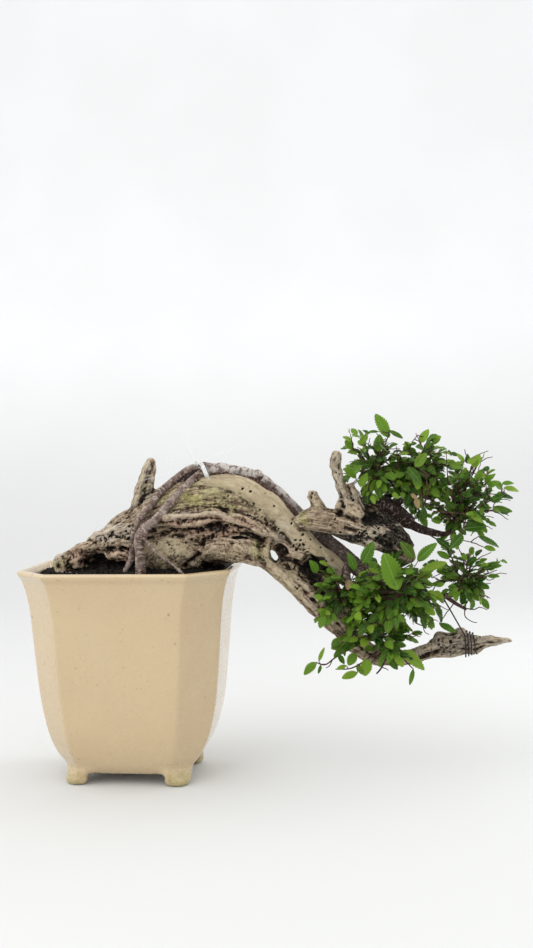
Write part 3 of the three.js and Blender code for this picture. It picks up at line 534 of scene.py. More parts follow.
deadLimbs = {
    "low base": makeLimb(7, flute=0.1, path=[
        (-55, -6, 150, 3, 4), (-47, -4, 154.5, 5, 7), (-38, 0, 158, 6.5, 10), (-27, 2, 160, 8.5, 13),
        (-14, 4, 163.5, 13.5, 16), (1, 4, 168, 18.5, 19), (20, 2, 171, 23, 21),
    ]),
    "shoulder": makeLimb(3, flute=0.1, path=[
        (-18, 2, 168, 7, 9), (-8, 3, 177, 8, 9), (4, 4, 183, 7.5, 8), (14, 3, 184, 6, 8),
    ]),
    "horn": makeLimb(5, flute=0.1, phase=1, path=[
        (3, 6, 172, 10.5, 9), (5, 5, 184, 8.6, 7.5), (7.5, 5, 198, 7.4, 6.2), (10.5, 5, 211, 5.8, 5),
        (13, 5, 219.5, 4.6, 4), (14.5, 5, 225.5, 2.6, 2.6),
    ]),
    "hump": makeLimb(10, flute=0.05, path=[
        (-4, 4, 163, 14, 15), (13, 2, 173, 22, 19), (32, 0, 179, 29.5, 21.5), (50, 0, 182, 33, 22.5),
        (68, 0, 181.5, 31, 21.5), (86, -2, 178, 26.5, 18.5), (101, -3, 171, 18, 14), (112, -3, 163, 9, 9),
    ]),
    "smooth band": makeLimb(9, path=[
        (54, -6, 207, 5.5, 8), (72, -10, 206, 7.2, 8), (87, -12, 200.5, 8.6, 8), (100, -11, 191, 9.2, 8),
        (110, -9, 180.5, 9.2, 8), (121, -7, 169, 8, 7.5), (132, -5, 159.5, 6.6, 7), (143, -2, 151, 5.7, 6),
        (153, 2, 141, 5, 5),
    ]),
    "ridge": makeLimb(6, flute=0.12, path=[
        (9, -15, 177, 4, 5), (29, -21, 183, 5, 5.5), (47, -24, 182.5, 5, 5.5), (65, -24.5, 185, 4.4, 5),
        (82, -21.5, 183, 4.4, 5), (96, -17, 176, 4.4, 5), (105, -12, 167, 4.4, 5),
    ]),
    "left panel": makeLimb(3, path=[
        (12, -12, 156, 10, 7), (26, -15.5, 160, 13, 7.5), (40, -16, 160.5, 13.5, 7.5),
        (53, -13, 158, 10, 7),
    ]),
    "right lump": makeLimb(4, flute=0.08, phase=2, path=[
        (55, -15, 160, 7, 8), (68, -19, 164, 9, 9), (82, -18, 162, 9.5, 9), (94, -13, 158, 8.5, 8),
        (102, -8, 153, 6, 6),
    ]),
    "near strand": makeLimb(8, flute=0.08, path=[
        (86, -8, 160, 7, 9), (93, -8, 155.5, 6.2, 8), (102, -8, 149.5, 6, 8), (112, -7, 141, 6.8, 8.5),
        (122, -6, 133, 8.2, 9.5), (131, -5, 124, 8.8, 9.5), (140, -3, 114.5, 8.2, 8.5),
        (148, -1, 105.5, 7.5, 8),
    ]),
    "far strand": makeLimb(4, flute=0.08, path=[
        (106, 3, 176, 10, 10), (117, 3, 161, 11, 10), (128, 3, 146.5, 11, 9), (138, 2, 131.5, 10, 8),
        (145, 1, 118, 7.6, 7.6), (151, 0, 107, 5.4, 6.4), (158, 1, 98, 3.4, 4.6),
    ]),
    "knot between the strands": makeLimb(3, path=[
        (102, -6, 168, 6, 8), (113, -7, 161.5, 6.6, 8), (124, -7, 158, 6.4, 7),
    ]),
    "lower snag": makeLimb(15, flute=0.1, phase=0.7, path=[
        (141, -2, 113.5, 7.8, 8.5), (152, 0, 100.5, 7, 8), (163, 2, 90, 6.6, 7.5), (174, 2, 84.5, 5.8, 6.5),
        (186, 1, 82.5, 4.6, 5.5), (197, 0, 84.5, 5, 5.5), (207, 0, 88, 5.8, 5.5), (217, 0, 91, 7.4, 6),
        (228, 0, 93, 8, 6.2), (236, 0, 93.4, 6.6, 5.2), (243, 0, 94, 4.3, 4), (252, 0, 95, 3.4, 3.4),
        (260, 0, 96.2, 2.6, 2.6), (266.5, 0, 95.6, 1.4, 1.6),
    ]),
    "side branch": makeLimb(8, flute=0.07, path=[
        (121.5, -12, 180, 5.4, 5), (127, -15, 181.5, 7.2, 6), (134, -17, 182, 8, 7),
        (145, -17, 180.5, 8.8, 7.5), (157, -16, 175.5, 8.6, 7.5), (170, -14, 170.5, 8.8, 7),
        (182, -12, 165.5, 8.4, 6.5), (192, -10, 159.5, 6.4, 5), (199, -8, 153, 3, 3),
    ]),
    "first snag": makeLimb(3, flute=0.08, path=[
        (137, -16, 184, 7, 5), (133.5, -16, 193.5, 4.2, 3.6), (131.5, -16, 201.5, 3, 2.6),
    ]),
    "nub": makeLimb(1, path=[(133, -17, 194, 2.4, 2.4), (127.5, -18, 198, 1.4, 1.4)]),
    "tall snag": makeLimb(6, flute=0.08, path=[
        (158, -15, 181, 8.5, 6.5), (154.5, -16, 193, 5, 4.4), (151, -17, 202, 3.8, 3.4),
        (148.5, -17, 210.5, 3.6, 3.4), (147, -17, 218, 4.6, 3.8), (148, -17, 224, 3.6, 3.2),
        (148.5, -17, 228, 2, 2),
    ]),
    "short snag": makeLimb(3, path=[
        (164, -14, 182, 7.5, 6), (160, -14, 195, 4.4, 4), (157, -14, 206, 2.8, 2.6),
    ]),
    "plate": makeLimb(4, path=[
        (147, -18, 193, 3.4, 2.4), (154, -20, 190.5, 5.6, 2.6), (160, -20.5, 187.5, 5.6, 2.4),
        (163, -20.5, 183.5, 3.2, 2), (162, -20.5, 180, 1.2, 1.4),
    ]),
    "hollow mass": makeLimb(4, flute=0.1, path=[
        (158, -6, 184, 7.5, 6), (169, -4, 182, 8, 6.5), (180, -3, 176.5, 7.5, 6), (190, -4, 169, 5.6, 5),
        (198, -6, 161, 3, 3),
    ]),
    "root post": makeLimb(3, path=[
        (30, 4, 118, 16, 12), (31, 3, 128, 20, 14), (33, 2, 143, 23, 15), (34, 1, 160, 22, 15),
    ]),
}

# Small forms on top of the limbs: strands, knobs and lumps
deadDetails = {
    "stub at the end of the base": makeLimb(3, flute=0.1, path=[
        (-49, -9, 143, 4.6), (-50, -9, 149, 4.8), (-50.5, -9, 154, 4.6), (-51.5, -9, 157, 3.8),
    ]),
    "step behind the stub": makeLimb(2, flute=0.12, path=[
        (-46, -6, 150, 4), (-41, -6, 155, 4.4), (-35, -6, 159, 4),
    ]),
    "strand over the base": makeLimb(4, flute=0.14, path=[
        (-29, -8, 166, 3.2), (-20, -11, 170.5, 4), (-10, -12, 174.5, 4.2), (-1, -13, 176, 3.6),
        (6, -14, 172, 3),
    ]),
    "second strand over the base": makeLimb(4, flute=0.14, phase=2, path=[
        (-24, -11, 163, 2.8), (-14, -14, 167, 3.4), (-5, -16, 168.5, 3.4), (4, -18, 166, 3),
    ]),
    "reddish lump in the hollow": makeLimb(3, flute=0.16, path=[
        (-17, -12, 156, 3), (-10, -15, 157.5, 4.2), (-2, -17, 158, 4.4), (5, -17, 153, 3.4),
    ]),
    "brown lump of the base": makeLimb(3, flute=0.16, phase=1, path=[
        (-40, -8, 160, 3), (-34, -10, 162, 4), (-28, -11, 163, 4.2), (-22, -12, 164, 3),
    ]),
    "brown wall of the hollow": makeLimb(3, flute=0.12, path=[
        (-38, -9, 148, 4), (-37, -9, 154, 5), (-34, -9, 160, 4.4),
    ]),
    "floor of the hollow": makeLimb(3, flute=0.12, path=[
        (-38, 5, 146, 5), (-26, 6, 148, 7), (-12, 6, 148, 7), (2, 5, 149, 7),
    ]),
    "knob on the lower snag": makeLimb(2, flute=0.1, path=[
        (214, -1, 95, 3.4), (216, -1, 99.5, 3.2), (220, -1, 99, 2.4),
    ]),
    "second knob on the lower snag": makeLimb(2, flute=0.1, path=[
        (228, -1, 97, 4), (231, -1, 101.5, 3.4), (234, -1, 100.5, 2.4),
    ]),
    "splinter under the wire": makeLimb(2, path=[(232, -2, 91, 3), (240, -2, 87.5, 2), (246, -2, 90, 1.2)]),
    "end of the branch": makeLimb(3, flute=0.12, path=[
        (180, -12, 170, 4), (189, -12, 166, 4.4), (197, -12, 159, 3),
    ]),
    "web behind the near strand": makeLimb(4, flute=0.1, path=[
        (104, -3, 158, 5), (110, -3, 152, 6), (117, -2, 144, 6), (126, -2, 134, 5),
    ]),
}

# Hollows worn in the old wood: middle, radii and turn about the Y axis in degrees
deadHollows = [
    ((102.6, -4, 156), (2.7, 24, 4.8), -24),
    ((107.5, -14.5, 158.6), (6, 6.5, 6.2), -25),
    ((129.6, -14, 147.2), (8.8, 12, 10), -20),
    ((63, -28, 178.8), (10, 9, 2.8), -12),
    ((-24, -14, 151), (12, 13, 8.6), -10),
    ((-3, -22, 149), (9, 8, 4.6), 0),
    ((176, -14, 183.5), (9, 7, 3.6), 30),
    ((83, -24, 170.2), (10, 5, 1.3), 2),
    ((126, -21, 178.6), (8, 5, 0.9), -3),
]

# Ridges and creases on each side: width, height and path (x, z)
deadStrokes = {
    "front": [
        (2.2, 2.0, [(30, 184), (42, 185), (54, 187.5), (65, 188), (75, 183.5), (86, 180), (98, 173.5)]),
        (1.2, -1.6, [(24, 180.5), (40, 182.2), (54, 184.2), (66, 184.4), (76, 180.4), (90, 176)]),
        (1.5, 1.4, [(24.5, 176), (31, 178.4), (42, 179.5), (55, 181), (64, 183), (72, 181.5)]),
        (1.1, -1.5, [(22, 172.5), (34, 175.6), (46, 176.6), (55, 176)]),
        (1.8, 1.6, [(54.5, 169.6), (58.5, 173), (68.5, 174.6), (81, 176.6), (92, 175), (100.5, 172)]),
        (1.7, -4.0, [(56, 170), (53.5, 160.5), (48.5, 155), (42, 149.5)]),
        (1.3, -1.5, [(63.5, 193.3), (74.5, 187.2), (85.5, 182.4), (93, 177.7)]),
        (1.8, -0.4, [(77, 211), (83, 198.5), (93, 187), (95, 175.5), (102, 168.5)]),
        (0.9, -0.9, [(20, 170), (28, 160), (38, 151), (44, 147)]),
        (1.2, 1.0, [(22, 171), (34, 168.5), (46, 170), (55, 173)]),
        (0.9, -0.8, [(30, 168), (36, 160), (46, 154)]),
        (1.3, 1.3, [(57, 171), (55, 162), (50, 156), (45, 151)]),
        (0.9, -0.9, [(60, 168), (72, 167), (86, 166), (98, 164)]),
        (0.9, -0.8, [(62, 160), (74, 157), (88, 156)]),
        (2.0, 1.5, [(100.8, 168), (99, 159.5), (100.5, 150.5)]),
        (1.4, -1.3, [(94, 171), (95, 163), (94, 156)]),
        (1.2, -1.6, [(-20, 167), (-12, 171), (-3, 172.2), (4, 169.5)]),
        (1.1, -1.4, [(-30, 164), (-22, 166.5), (-14, 169)]),
        (0.8, -0.7, [(7, 190), (10.5, 204), (14, 218)]),
        (1.4, 0.8, [(3, 190), (7, 206), (11.5, 219)]),
        (0.7, -0.6, [(1, 188), (5, 202), (9.5, 215)]),
        (0.7, -1.0, [(145.5, 208), (147, 216), (147.5, 224)]),
        (0.6, -0.8, [(150, 204), (149.5, 212), (150.5, 219)]),
        (0.6, -0.8, [(153, 192), (151.5, 199), (149.5, 206)]),
        (0.6, -0.8, [(131, 190), (130, 196), (130.5, 201)]),
        (0.7, -0.9, [(170, 185), (180, 178.5), (190, 170), (196, 162)]),
        (0.9, 1.0, [(166, 185), (176, 181), (186, 173), (195, 163)]),
        (0.7, 0.8, [(172, 180), (181, 175), (190, 167)]),
        (1.5, -1.8, [(148.6, 187), (157, 183), (163, 180.6), (170, 184)]),
        (1.4, -1.6, [(150, 199), (152.5, 191), (150, 186)]),
        (1.3, -1.2, [(106, 152), (116, 141.5), (126, 130), (136, 118)]),
        (1.6, 1.0, [(104, 147), (114, 137), (124, 126), (134, 114)]),
        (1.2, -1.2, [(112, 148.5), (121, 137), (131, 124.5), (141, 113)]),
        (1.2, -1.0, [(104, 176), (112, 171), (116, 163)]),
        (1.2, -1.2, [(146, 109), (156, 98), (167, 88), (180, 84)]),
        (1.2, -1.0, [(200, 84), (212, 88), (224, 91), (236, 91)]),
        (1.3, -1.3, [(160, 172), (172, 168), (184, 163.5)]),
        (1.2, -1.2, [(150, 176), (164, 174.5), (176, 172), (188, 166)]),
    ],
    "back": [
        (2.4, 2.0, [(0, 172), (18, 182), (40, 190), (62, 192), (84, 186), (100, 176)]),
        (1.6, -2.4, [(-4, 167), (16, 176), (38, 184), (62, 186), (82, 180), (98, 169)]),
        (1.8, -2.2, [(20, 160), (40, 166), (62, 168), (84, 164)]),
        (2.0, 1.6, [(10, 164), (32, 172), (56, 176), (80, 171), (96, 162)]),
        (1.5, -1.8, [(36, 202), (52, 200), (70, 198), (88, 190)]),
        (1.6, -2.0, [(58, 158), (50, 152), (44, 147)]),
        (1.3, -1.4, [(110, 168), (120, 154), (130, 138), (140, 120)]),
        (1.5, 1.2, [(106, 164), (116, 150), (126, 134), (136, 117)]),
        (1.2, -1.2, [(3, 188), (7, 204), (11, 218)]),
        (1.4, -1.6, [(-44, 155), (-30, 161), (-16, 167), (-4, 172)]),
        (1.3, -1.2, [(150, 104), (164, 92), (182, 84), (206, 87), (228, 92)]),
    ],
}

# Patches of colour and of relief by kind: middle, reach and strength
deadPatches = {
    "olive": [
        ((60, -20, 203), (22, 26, 10), 0.9), ((36, -18, 196), (14, 26, 9), 0.7),
        ((8, 0, 200), (7, 12, 18), 0.3), ((80, -18, 192), (13, 20, 7), 0.5),
        ((60, 20, 200), (30, 16, 12), 0.6),
    ],
    "moss": [
        ((46, -20, 199), (9, 20, 5), 0.75), ((57, -22, 193.5), (14, 20, 3.6), 0.55),
        ((93, -20, 161), (6, 18, 8), 0.75), ((126, -18, 183), (7, 10, 5), 0.7),
        ((74, -20, 190), (7, 20, 4), 0.5), ((-52, -8, 152), (7, 10, 5), 0.6),
        ((30, 18, 186), (16, 12, 8), 0.6), ((30, -20, 151), (14, 16, 3.5), 0.45),
    ],
    "calm": [
        ((140, -18, 180), (22, 14, 12), 0.8), ((108, -14, 172), (10, 14, 10), 0.7),
    ],
    "cream": [
        ((96, -18, 190), (8, 14, 12), 0.9), ((100, -12, 158), (4, 14, 10), 0.9),
        ((104, -10, 148), (8, 14, 7), 0.6), ((148, -20, 216), (6, 8, 14), 0.3),
        ((156, -22, 188), (9, 8, 6), 0.6), ((34, -22, 161), (18, 14, 10), 0.75),
        ((80, -22, 160), (20, 14, 7), 0.45), ((133, -20, 190), (6, 10, 11), 0.5),
        ((112, -14, 137), (12, 12, 12), 0.75),
    ],
    "grey": [
        ((148, -16, 212), (8, 14, 18), 0.9), ((112, -12, 170), (10, 14, 12), 0.7),
        ((160, -12, 190), (10, 14, 16), 0.6), ((170, -12, 172), (34, 16, 13), 0.9),
        ((6, 4, 178), (10, 14, 10), 0.5), ((10, 4, 204), (10, 14, 24), 0.7),
        ((230, 0, 94), (44, 14, 12), 0.8), ((10, -14, 182), (9, 14, 8), 0.5),
    ],
    "red": [
        ((64, -24, 181), (34, 20, 6), 0.7), ((-4, -16, 156), (11, 14, 6), 0.95),
        ((-35, -8, 156), (8, 14, 8), 0.9), ((74, -22, 176), (14, 12, 5), 0.8),
        ((30, -18, 172), (18, 18, 6), 0.4), ((48, -22, 165), (10, 14, 7), 0.4),
        ((-10, 14, 162), (26, 14, 10), 0.5), ((109, -12, 158), (8, 9, 8), 0.9),
        ((62, -20, 173), (12, 12, 4), 0.7),
    ],
    # black: charred wood, and painted shade in the hollows of the base, in deep pockets and under the side
    # branch
    "black": [
        ((180, -8, 182), (15, 14, 7), 0.75), ((192, -6, 168), (8, 14, 8), 0.65),
        ((172, -14, 184), (9, 8, 4), 1.0), ((168, -4, 192), (8, 14, 8), 0.7),
        ((130, -7, 146.6), (9.6, 11, 10.4), 1.0), ((-22, -2, 149), (15, 18, 9.5), 1.0),
        ((-2, -10, 147), (11, 16, 6), 1.0), ((108, -8, 158), (6, 6, 6), 0.7),
        ((63, -20, 178), (10, 6, 3.4), 0.6), ((150, -2, 100), (9, 14, 6), 0.5),
        ((222, 0, 91), (54, 16, 14), 0.36), ((152, -16, 204), (14, 12, 28), 0.22),
        ((134, -16, 192), (9, 12, 14), 0.2), ((150, -16, 169), (20, 10, 4), 0.7),
        ((184, -10, 160), (12, 10, 5), 0.7), ((46, -8, 154), (60, 30, 6), 0.45),
        ((188, -12, 168), (15, 14, 10), 0.72), ((170, -14, 180), (16, 12, 4), 0.8),
    ],
    "pitted": [
        ((174, -16, 172), (22, 14, 9), 0.55), ((150, -16, 178), (12, 12, 5), 0.3),
        ((90, -14, 200), (14, 12, 8), 0.35), ((225, -4, 92), (24, 12, 8), 0.5),
        ((70, -20, 176), (34, 12, 12), 0.45), ((121, -10, 164.5), (5.5, 14, 6.5), 1.0),
    ],
    "speckled": [
        ((34, -20, 160), (24, 16, 12), 1.0), ((78, -20, 161), (24, 16, 9), 0.9),
        ((112, -14, 138), (15, 14, 13), 0.85), ((50, -22, 188), (38, 16, 16), 0.45),
        ((34, 20, 166), (40, 14, 14), 0.7),
    ],
    "rugged": [
        ((-20, 0, 164), (34, 30, 16), 1.0), ((-48, -6, 154), (12, 16, 10), 1.0),
        ((70, -20, 180), (34, 20, 6), 0.7), ((172, -10, 178), (20, 16, 12), 0.7),
        ((6, 0, 176), (12, 20, 10), 0.6), ((148, -17, 216), (8, 12, 15), 0.6),
        ((131, -16, 199), (6, 10, 6), 0.6), ((128, -10, 150), (12, 12, 14), 0.8),
    ],
    "chalk": [
        ((-14, -10, 174), (18, 14, 7), 0.8), ((-53, -8, 156), (5, 8, 5), 0.9),
        ((110, -14, 178), (6, 12, 8), 0.45), ((44, -24, 186), (16, 10, 4), 0.45),
    ],
}

# Holes left by insects, x, z and radius, on the front
insectHoles = [
    (83.3, 203.5, 1.1), (88.6, 201.6, 1.0), (104.8, 191.3, 0.9), (95, 188.9, 0.8), (96.6, 184, 0.8),
    (107.4, 175.4, 0.9), (116.4, 179.2, 1.1), (124.2, 171.5, 1.2), (129.4, 168, 0.9), (108.3, 172.5, 0.8),
    (143.6, 178, 0.9), (159.2, 195, 1.0), (147.2, 182.7, 0.8), (119.6, 134.1, 1.0), (118.3, 135.4, 0.8),
    (120.2, 140.7, 0.9), (73, 199, 0.8), (36, 154, 0.8), (131, 200, 1.0), (148, 214, 0.8), (136, 162, 0.9),
    (140, 170, 0.8), (181, 166, 1.0), (176, 176, 1.0), (168, 172, 0.9), (118.6, 167.2, 1.3),
    (124.1, 164.3, 1.4), (126.8, 158.8, 1.2), (119.4, 160.7, 1.4), (122.4, 167.6, 1.2), (121.6, 163.8, 1.1),
    (124.6, 160.6, 1.1), (117, 163.6, 0.9), (150, 173, 0.9), (163, 172.6, 1.0), (187, 165, 1.0),
]


# A ball stretched to its radii, turned about the Y axis and made uneven by hills
def ellipsoid(middle, radii, turn, sides=20):
    lat = np.linspace(0.06, math.pi - 0.06, sides // 2)[:, None]
    lon = np.linspace(0, 2 * math.pi, sides, endpoint=False)[None]
    ball = np.stack([np.sin(lat) * np.cos(lon), np.sin(lat) * np.sin(lon), np.cos(lat) + lon * 0], -1)[::-1]
    x, y, z = np.moveaxis(ball * radii, -1, 0)
    c, s = math.cos(math.radians(turn)), math.sin(math.radians(turn))
    ball = np.stack([x * c + z * s, y, z * c - x * s], -1) + np.array(middle, float)
    uneven = 1 + 0.16 * hills(ball.reshape(-1, 3), 4.5, 3).reshape(ball.shape[:2])[..., None]
    return closedSkin((ball - middle) * uneven + middle)


# The limbs under one skin, drawn strokes and lumps, hollows cut out, then relief along the grain, which is
# calmer on smooth wood and rougher on rugged wood, and the insects' holes
def oldWoodMesh():
    look, spots = oldWood, deadPatches
    limbs = [*deadLimbs.values(), *deadDetails.values()]
    mesh = oneSkin("old_wood", [limbSkin(limb) for limb in limbs], look["firstVoxel"], softening=2)
    points, normals = pointsOf(mesh), normalsOf(mesh)
    points = points + normals * strokes(points, normals, deadStrokes)[:, None]
    points = points + normals * (look["lumps"] * rough(points, 9, 2, 2))[:, None]
    faces = [tuple(p.vertices) for p in mesh.polygons]
    carved = points, [np.array([f for f in faces if len(f) == 4])]
    mesh = oneSkin("old_wood", [carved], look["voxel"], [ellipsoid(*hollow) for hollow in deadHollows])

    points, normals = pointsOf(mesh), normalsOf(mesh)
    broad, fine, fibres = grainNoise(points, limbs, [(7.5, 4, True), (3.2, 6, True), (2.2, 7, True)])
    smooth = besideLimb(points, deadLimbs["smooth band"], 14)[0] * smoothStep(0.2, -0.3, normals[:, 1])
    still = patches(points, spots["olive"]) * 0.8 + patches(points, spots["calm"])
    calm = 1 - 0.75 * np.clip(smooth + still, 0, 1)
    speckled, rugged, charredAndShaded = (patches(points, spots[kind]) for kind in ("speckled", "rugged", "pitted"))
    grain = look["coarseGrain"] * broad + look["fineGrain"] * fine + look["fibres"] * fibres
    relief = calm * (1 - 0.7 * speckled) * grain
    relief += calm * (1 + 1.2 * rugged) * (1 - 0.5 * speckled) * look["chips"] * rough(points, 3.4, 3, 9)
    relief += speckled * look["speckles"] * rough(points, 1.9, 2, 13)
    relief -= rugged * 0.9 * smoothStep(0.1, 0.6, -np.abs(rough(points, 6, 2, 17)) + 0.35)
    # Holes in the pitted, charred wood; the material paints these and the insects' holes black, as painted
    # shade
    holes = 0.8 * smoothStep(0.25, 0.75, rough(points, 2.6, 2, 21)) * charredAndShaded
    front = smoothStep(0.1, -0.3, normals[:, 1])
    uneven = 1 + 0.35 * rough(points, 1.6, 2, 4)
    for x, z, radius in insectHoles:
        gap = np.hypot(points[:, 0] - x, points[:, 2] - z) / (radius * 0.72)
        holes = np.maximum(holes, smoothStep(1.3, 0.7, gap * uneven) * front)
    points = points + normals * (relief - look["holeDepth"] * holes)[:, None]
    movePoints(mesh, points)

    normals = normalsOf(mesh)
    # How deep each point lies in a groove, small and broad; the material paints shade in the grooves and a
    # highlight on the ridges by it
    crease = grooveDepth(mesh, points, normals, 2) / 0.16 + grooveDepth(mesh, points, normals, 22) / 1.2
    keepNumber(mesh, "crease", np.clip(crease, -1.5, 2))
    keepNumber(mesh, "holes", holes)
    keepPlace(mesh, "grainPlace", grainPlace(points, limbs))
    for kind in ("cream", "olive", "moss", "red", "grey", "black", "chalk", "speckled", "pitted"):
        strength = patches(points, spots[kind])
        if kind == "cream":
            strength = np.maximum(strength, smoothStep(0.55, 0.9, smooth))
        keepNumber(mesh, kind, strength)
    return mesh


def oldWoodMaterial():
    look = oldWood
    s = Shader("weathered old wood", 0.15)
    place = s.add("ShaderNodeAttribute", attribute_name="grainPlace").outputs["Vector"]
    drawn = s.stretched((1, 1, 0.16), place)
    fibres = s.noise(0.34, 5, 0.72, drawn, 0.4)
    threads = s.noise(1.1, 4, 0.7, drawn)
    crumbs = s.noise(620, 5, 0.72)
    crease = s.number("crease")
    grain = s.total((fibres, 0.5), (threads, 0.3), (crumbs, 0.2))
    dots = s.total((s.noise(850, 4, 0.7), 0.7), (s.noise(260, 3, 0.6), 0.3), (grain, -1))
    dots = s.times(dots, s.times(s.number("speckled"), 0.8))
    # The grooves also darken the tone a little: painted shade
    shade = s.total((grain, 1), (dots, 1), (crease, -0.05))
    stops = (0.39, "deep"), (0.46, "brown"), (0.53, "middle"), (0.61, "pale")
    colour = s.ramp(shade, *((at, look[tint]) for at, tint in stops))
    broken = s.times(s.total((s.noise(130, 6, 0.75), 1), (fibres, 0.8), plus=-0.9), 1.9)
    for kind, share, blend in (("grey", 0.6, "COLOR"), ("red", 0.6, "COLOR"), ("olive", 0.6, "COLOR"),
                               ("moss", 0.6, "COLOR"), ("cream", 0.6, "MIX"), ("chalk", 0.55, "MIX")):
        edge = s.between(s.total((s.number(kind), 1), (broken, 1)), 0.15, 0.95, (0, share))
        colour = s.mix(edge, colour, look[kind], blend)
    stains = s.between(s.noise(55, 5, 0.65), 0.5, 0.75, (0, 0.5))
    colour = s.films(colour, look, (stains, s.number("cream"), "middle"))
    # Painted highlight on the ridges; painted shade in the grooves, deep brown and then black
    colour = s.coats(colour, look, (crease, -0.4, -1.3, 0.3, "pale"), (crease, 0.1, 0.9, 0.88, "deep"),
                     (crease, 0.75, 1.5, 0.92, "black"))
    # Small pits, bumped in and painted black: painted shade in them
    pits = s.between(s.cells(420).outputs["Distance"], 0.26, 0.12)
    pits = s.times(pits, s.between(s.noise(60, 2), 0.53, 0.6))
    colour = s.films(colour, look, (pits, 0.8, "black"))
    # Black: charred wood and painted shade where the black patches lie, black streaks in the pitted wood, and
    # painted shade in every hole
    charredAndShaded = s.total((s.number("black"), 1), (crumbs, 2), (fibres, 1.6), plus=-1.8)
    scars = s.total((s.number("pitted"), 1), (threads, 3), plus=-2.1)
    colour = s.coats(colour, look, (charredAndShaded, 0.25, 0.8, 0.95, "black"), (scars, 0.35, 0.75, 0.9, "black"),
                     (s.number("holes"), 0.3, 0.8, 0.95, "black"))
    height = s.total((fibres, 0.5), (threads, 0.6), (crumbs, 0.5), (pits, -0.8))
    dull = s.between(crumbs, 0.3, 0.7, (0.7, 0.95))
    return s.done(colour=colour, roughness=dull, normal=s.bump(height, 0.8, 0.0009))


finish(newObject("old_wood", oldWoodMesh()), oldWoodMaterial(), ["deadwood"])


# Living wood: two stems from the soil, the vein over the trunk and the boughs

livingWood = {
    "voxel": 0.6,
    "bark": seen(132, 117, 108),
    "paleBarkAndHighlight": seen(198, 193, 186),
    "darkBarkAndShade": seen(42, 29, 25),
    "redBarkAndShade": seen(72, 50, 42),
    "ring": seen(172, 157, 147),
    "plateHeight": 0.28,
    "ringHeight": 0.16,
}

liveLimbs = {
    "front stem and vein": makeLimb(24, flute=0.03, path=[
        (13.5, -32, 136, 3.6), (13.5, -32, 148, 3.6), (13, -31.5, 160, 3.2), (12.5, -30.5, 172, 3.3),
        (18, -29, 179, 3.2), (25, -27, 184.5, 3.2), (35, -21, 197, 3), (44, -14.5, 207, 3),
        (54, -9, 214.5, 3.2), (64, -6.5, 216.5, 3.9), (79, -3, 215, 3.9), (90, -0.5, 212, 3.7),
        (99, 1.5, 206, 3.6), (113, 6, 192, 3.7), (120, 8.5, 184, 4), (128, 10, 174.5, 5),
        (137, 9.5, 165, 6), (147, 7, 157, 6), (157, 4, 149, 5.7), (168, 0, 139.5, 5), (180, -3, 131, 4.4),
        (193, -4, 127, 3.6), (207, -3.5, 126.5, 3), (221, -3, 127, 2.6), (231, -3, 130, 2.2),
    ]),
    "back stem": makeLimb(12, flute=0.03, path=[
        (0, -24, 136, 2), (0, -24, 146, 2), (5, -24, 156, 1.9), (6.5, -24, 170, 1.9), (9, -23.5, 178, 2),
        (12, -22.5, 184.5, 2.1), (17, -20.5, 190.5, 2.3), (26, -15, 203, 2.3), (34, -10, 210.5, 2.4),
        (43, -6, 217, 2.5), (53, -4.5, 219.5, 2.6), (62, -5, 218, 3),
    ]),
    # Its surface gets painted shade, as the vein's underside
    "shaded wood under the vein": makeLimb(8, path=[
        (66, -5, 212.5, 2.2), (78, -3.5, 210.8, 3.2), (89, -2, 207, 3.7), (98, 0, 200.5, 4),
        (107, 2.5, 192, 4), (116, 5, 182.5, 3.8), (122, 7, 176, 3.4),
    ]),
    "wood between the stems": makeLimb(3, path=[
        (30, -11.5, 201.6, 1.4), (37, -8.5, 207.4, 2), (43, -6, 212.4, 2), (48, -5, 215, 1.9),
        (54, -5, 216.6, 1.8),
    ]),
    # It lies inside the crown, where shade is painted
    "shaded wood behind the side branch": makeLimb(5, flute=0.1, path=[
        (160, 12, 183, 6), (170, 9, 189, 6.5), (180, 8, 189, 6.5), (190, 9, 183, 5.6), (199, 10, 177, 4),
    ]),
    "thin root": makeLimb(5, path=[
        (14, -31, 174, 1.4), (22, -34, 165, 1.1), (29, -36, 159, 1), (37, -37, 153.5, 1),
        (44, -37.5, 147, 1), (47, -37.5, 141, 1),
    ]),
    "upper bough": makeLimb(7, flute=0.04, path=[
        (127, 10, 173, 4.4), (136, 14, 173, 5.4), (148, 17, 175, 6), (162, 18, 179, 6), (178, 16, 181, 5.2),
        (193, 12, 177.5, 3.8), (206, 10, 172, 3), (218, 9, 169, 2.4),
    ]),
    "bough of the left crown": makeLimb(3, path=[
        (160, 17, 180, 3.6), (164, 11, 191, 2.8), (169, 7, 199, 2.3), (171, 3, 208, 2),
    ]),
    "bough of the top crown": makeLimb(3, path=[
        (180, 15, 182, 3.6), (187, 10, 189, 2.8), (196, 8, 197, 2.4), (200, 5, 206, 2),
    ]),
    "bough of the back crown": makeLimb(2, path=[
        (168, 18, 181, 4), (174, 26, 188, 3.2), (182, 32, 194, 2.4),
    ]),
    "bough of the lower left spray": makeLimb(2, path=[
        (152, 4, 150, 3.6), (153, -8, 143, 3), (155, -17, 136, 2.2),
    ]),
    "bough of the front spray": makeLimb(2, path=[
        (170, 0, 138, 3.6), (177, -13, 134, 3), (184, -22, 131, 2.2),
    ]),
    "bough of the bottom spray": makeLimb(3, path=[
        (178, -3, 131, 3.4), (179, -10, 120, 2.9), (178, -13, 110, 2.4), (176, -14, 102, 2),
    ]),
    "bough of the back spray": makeLimb(2, path=[
        (160, 4, 146, 3.6), (166, 16, 138, 3), (174, 25, 132, 2.2),
    ]),
}

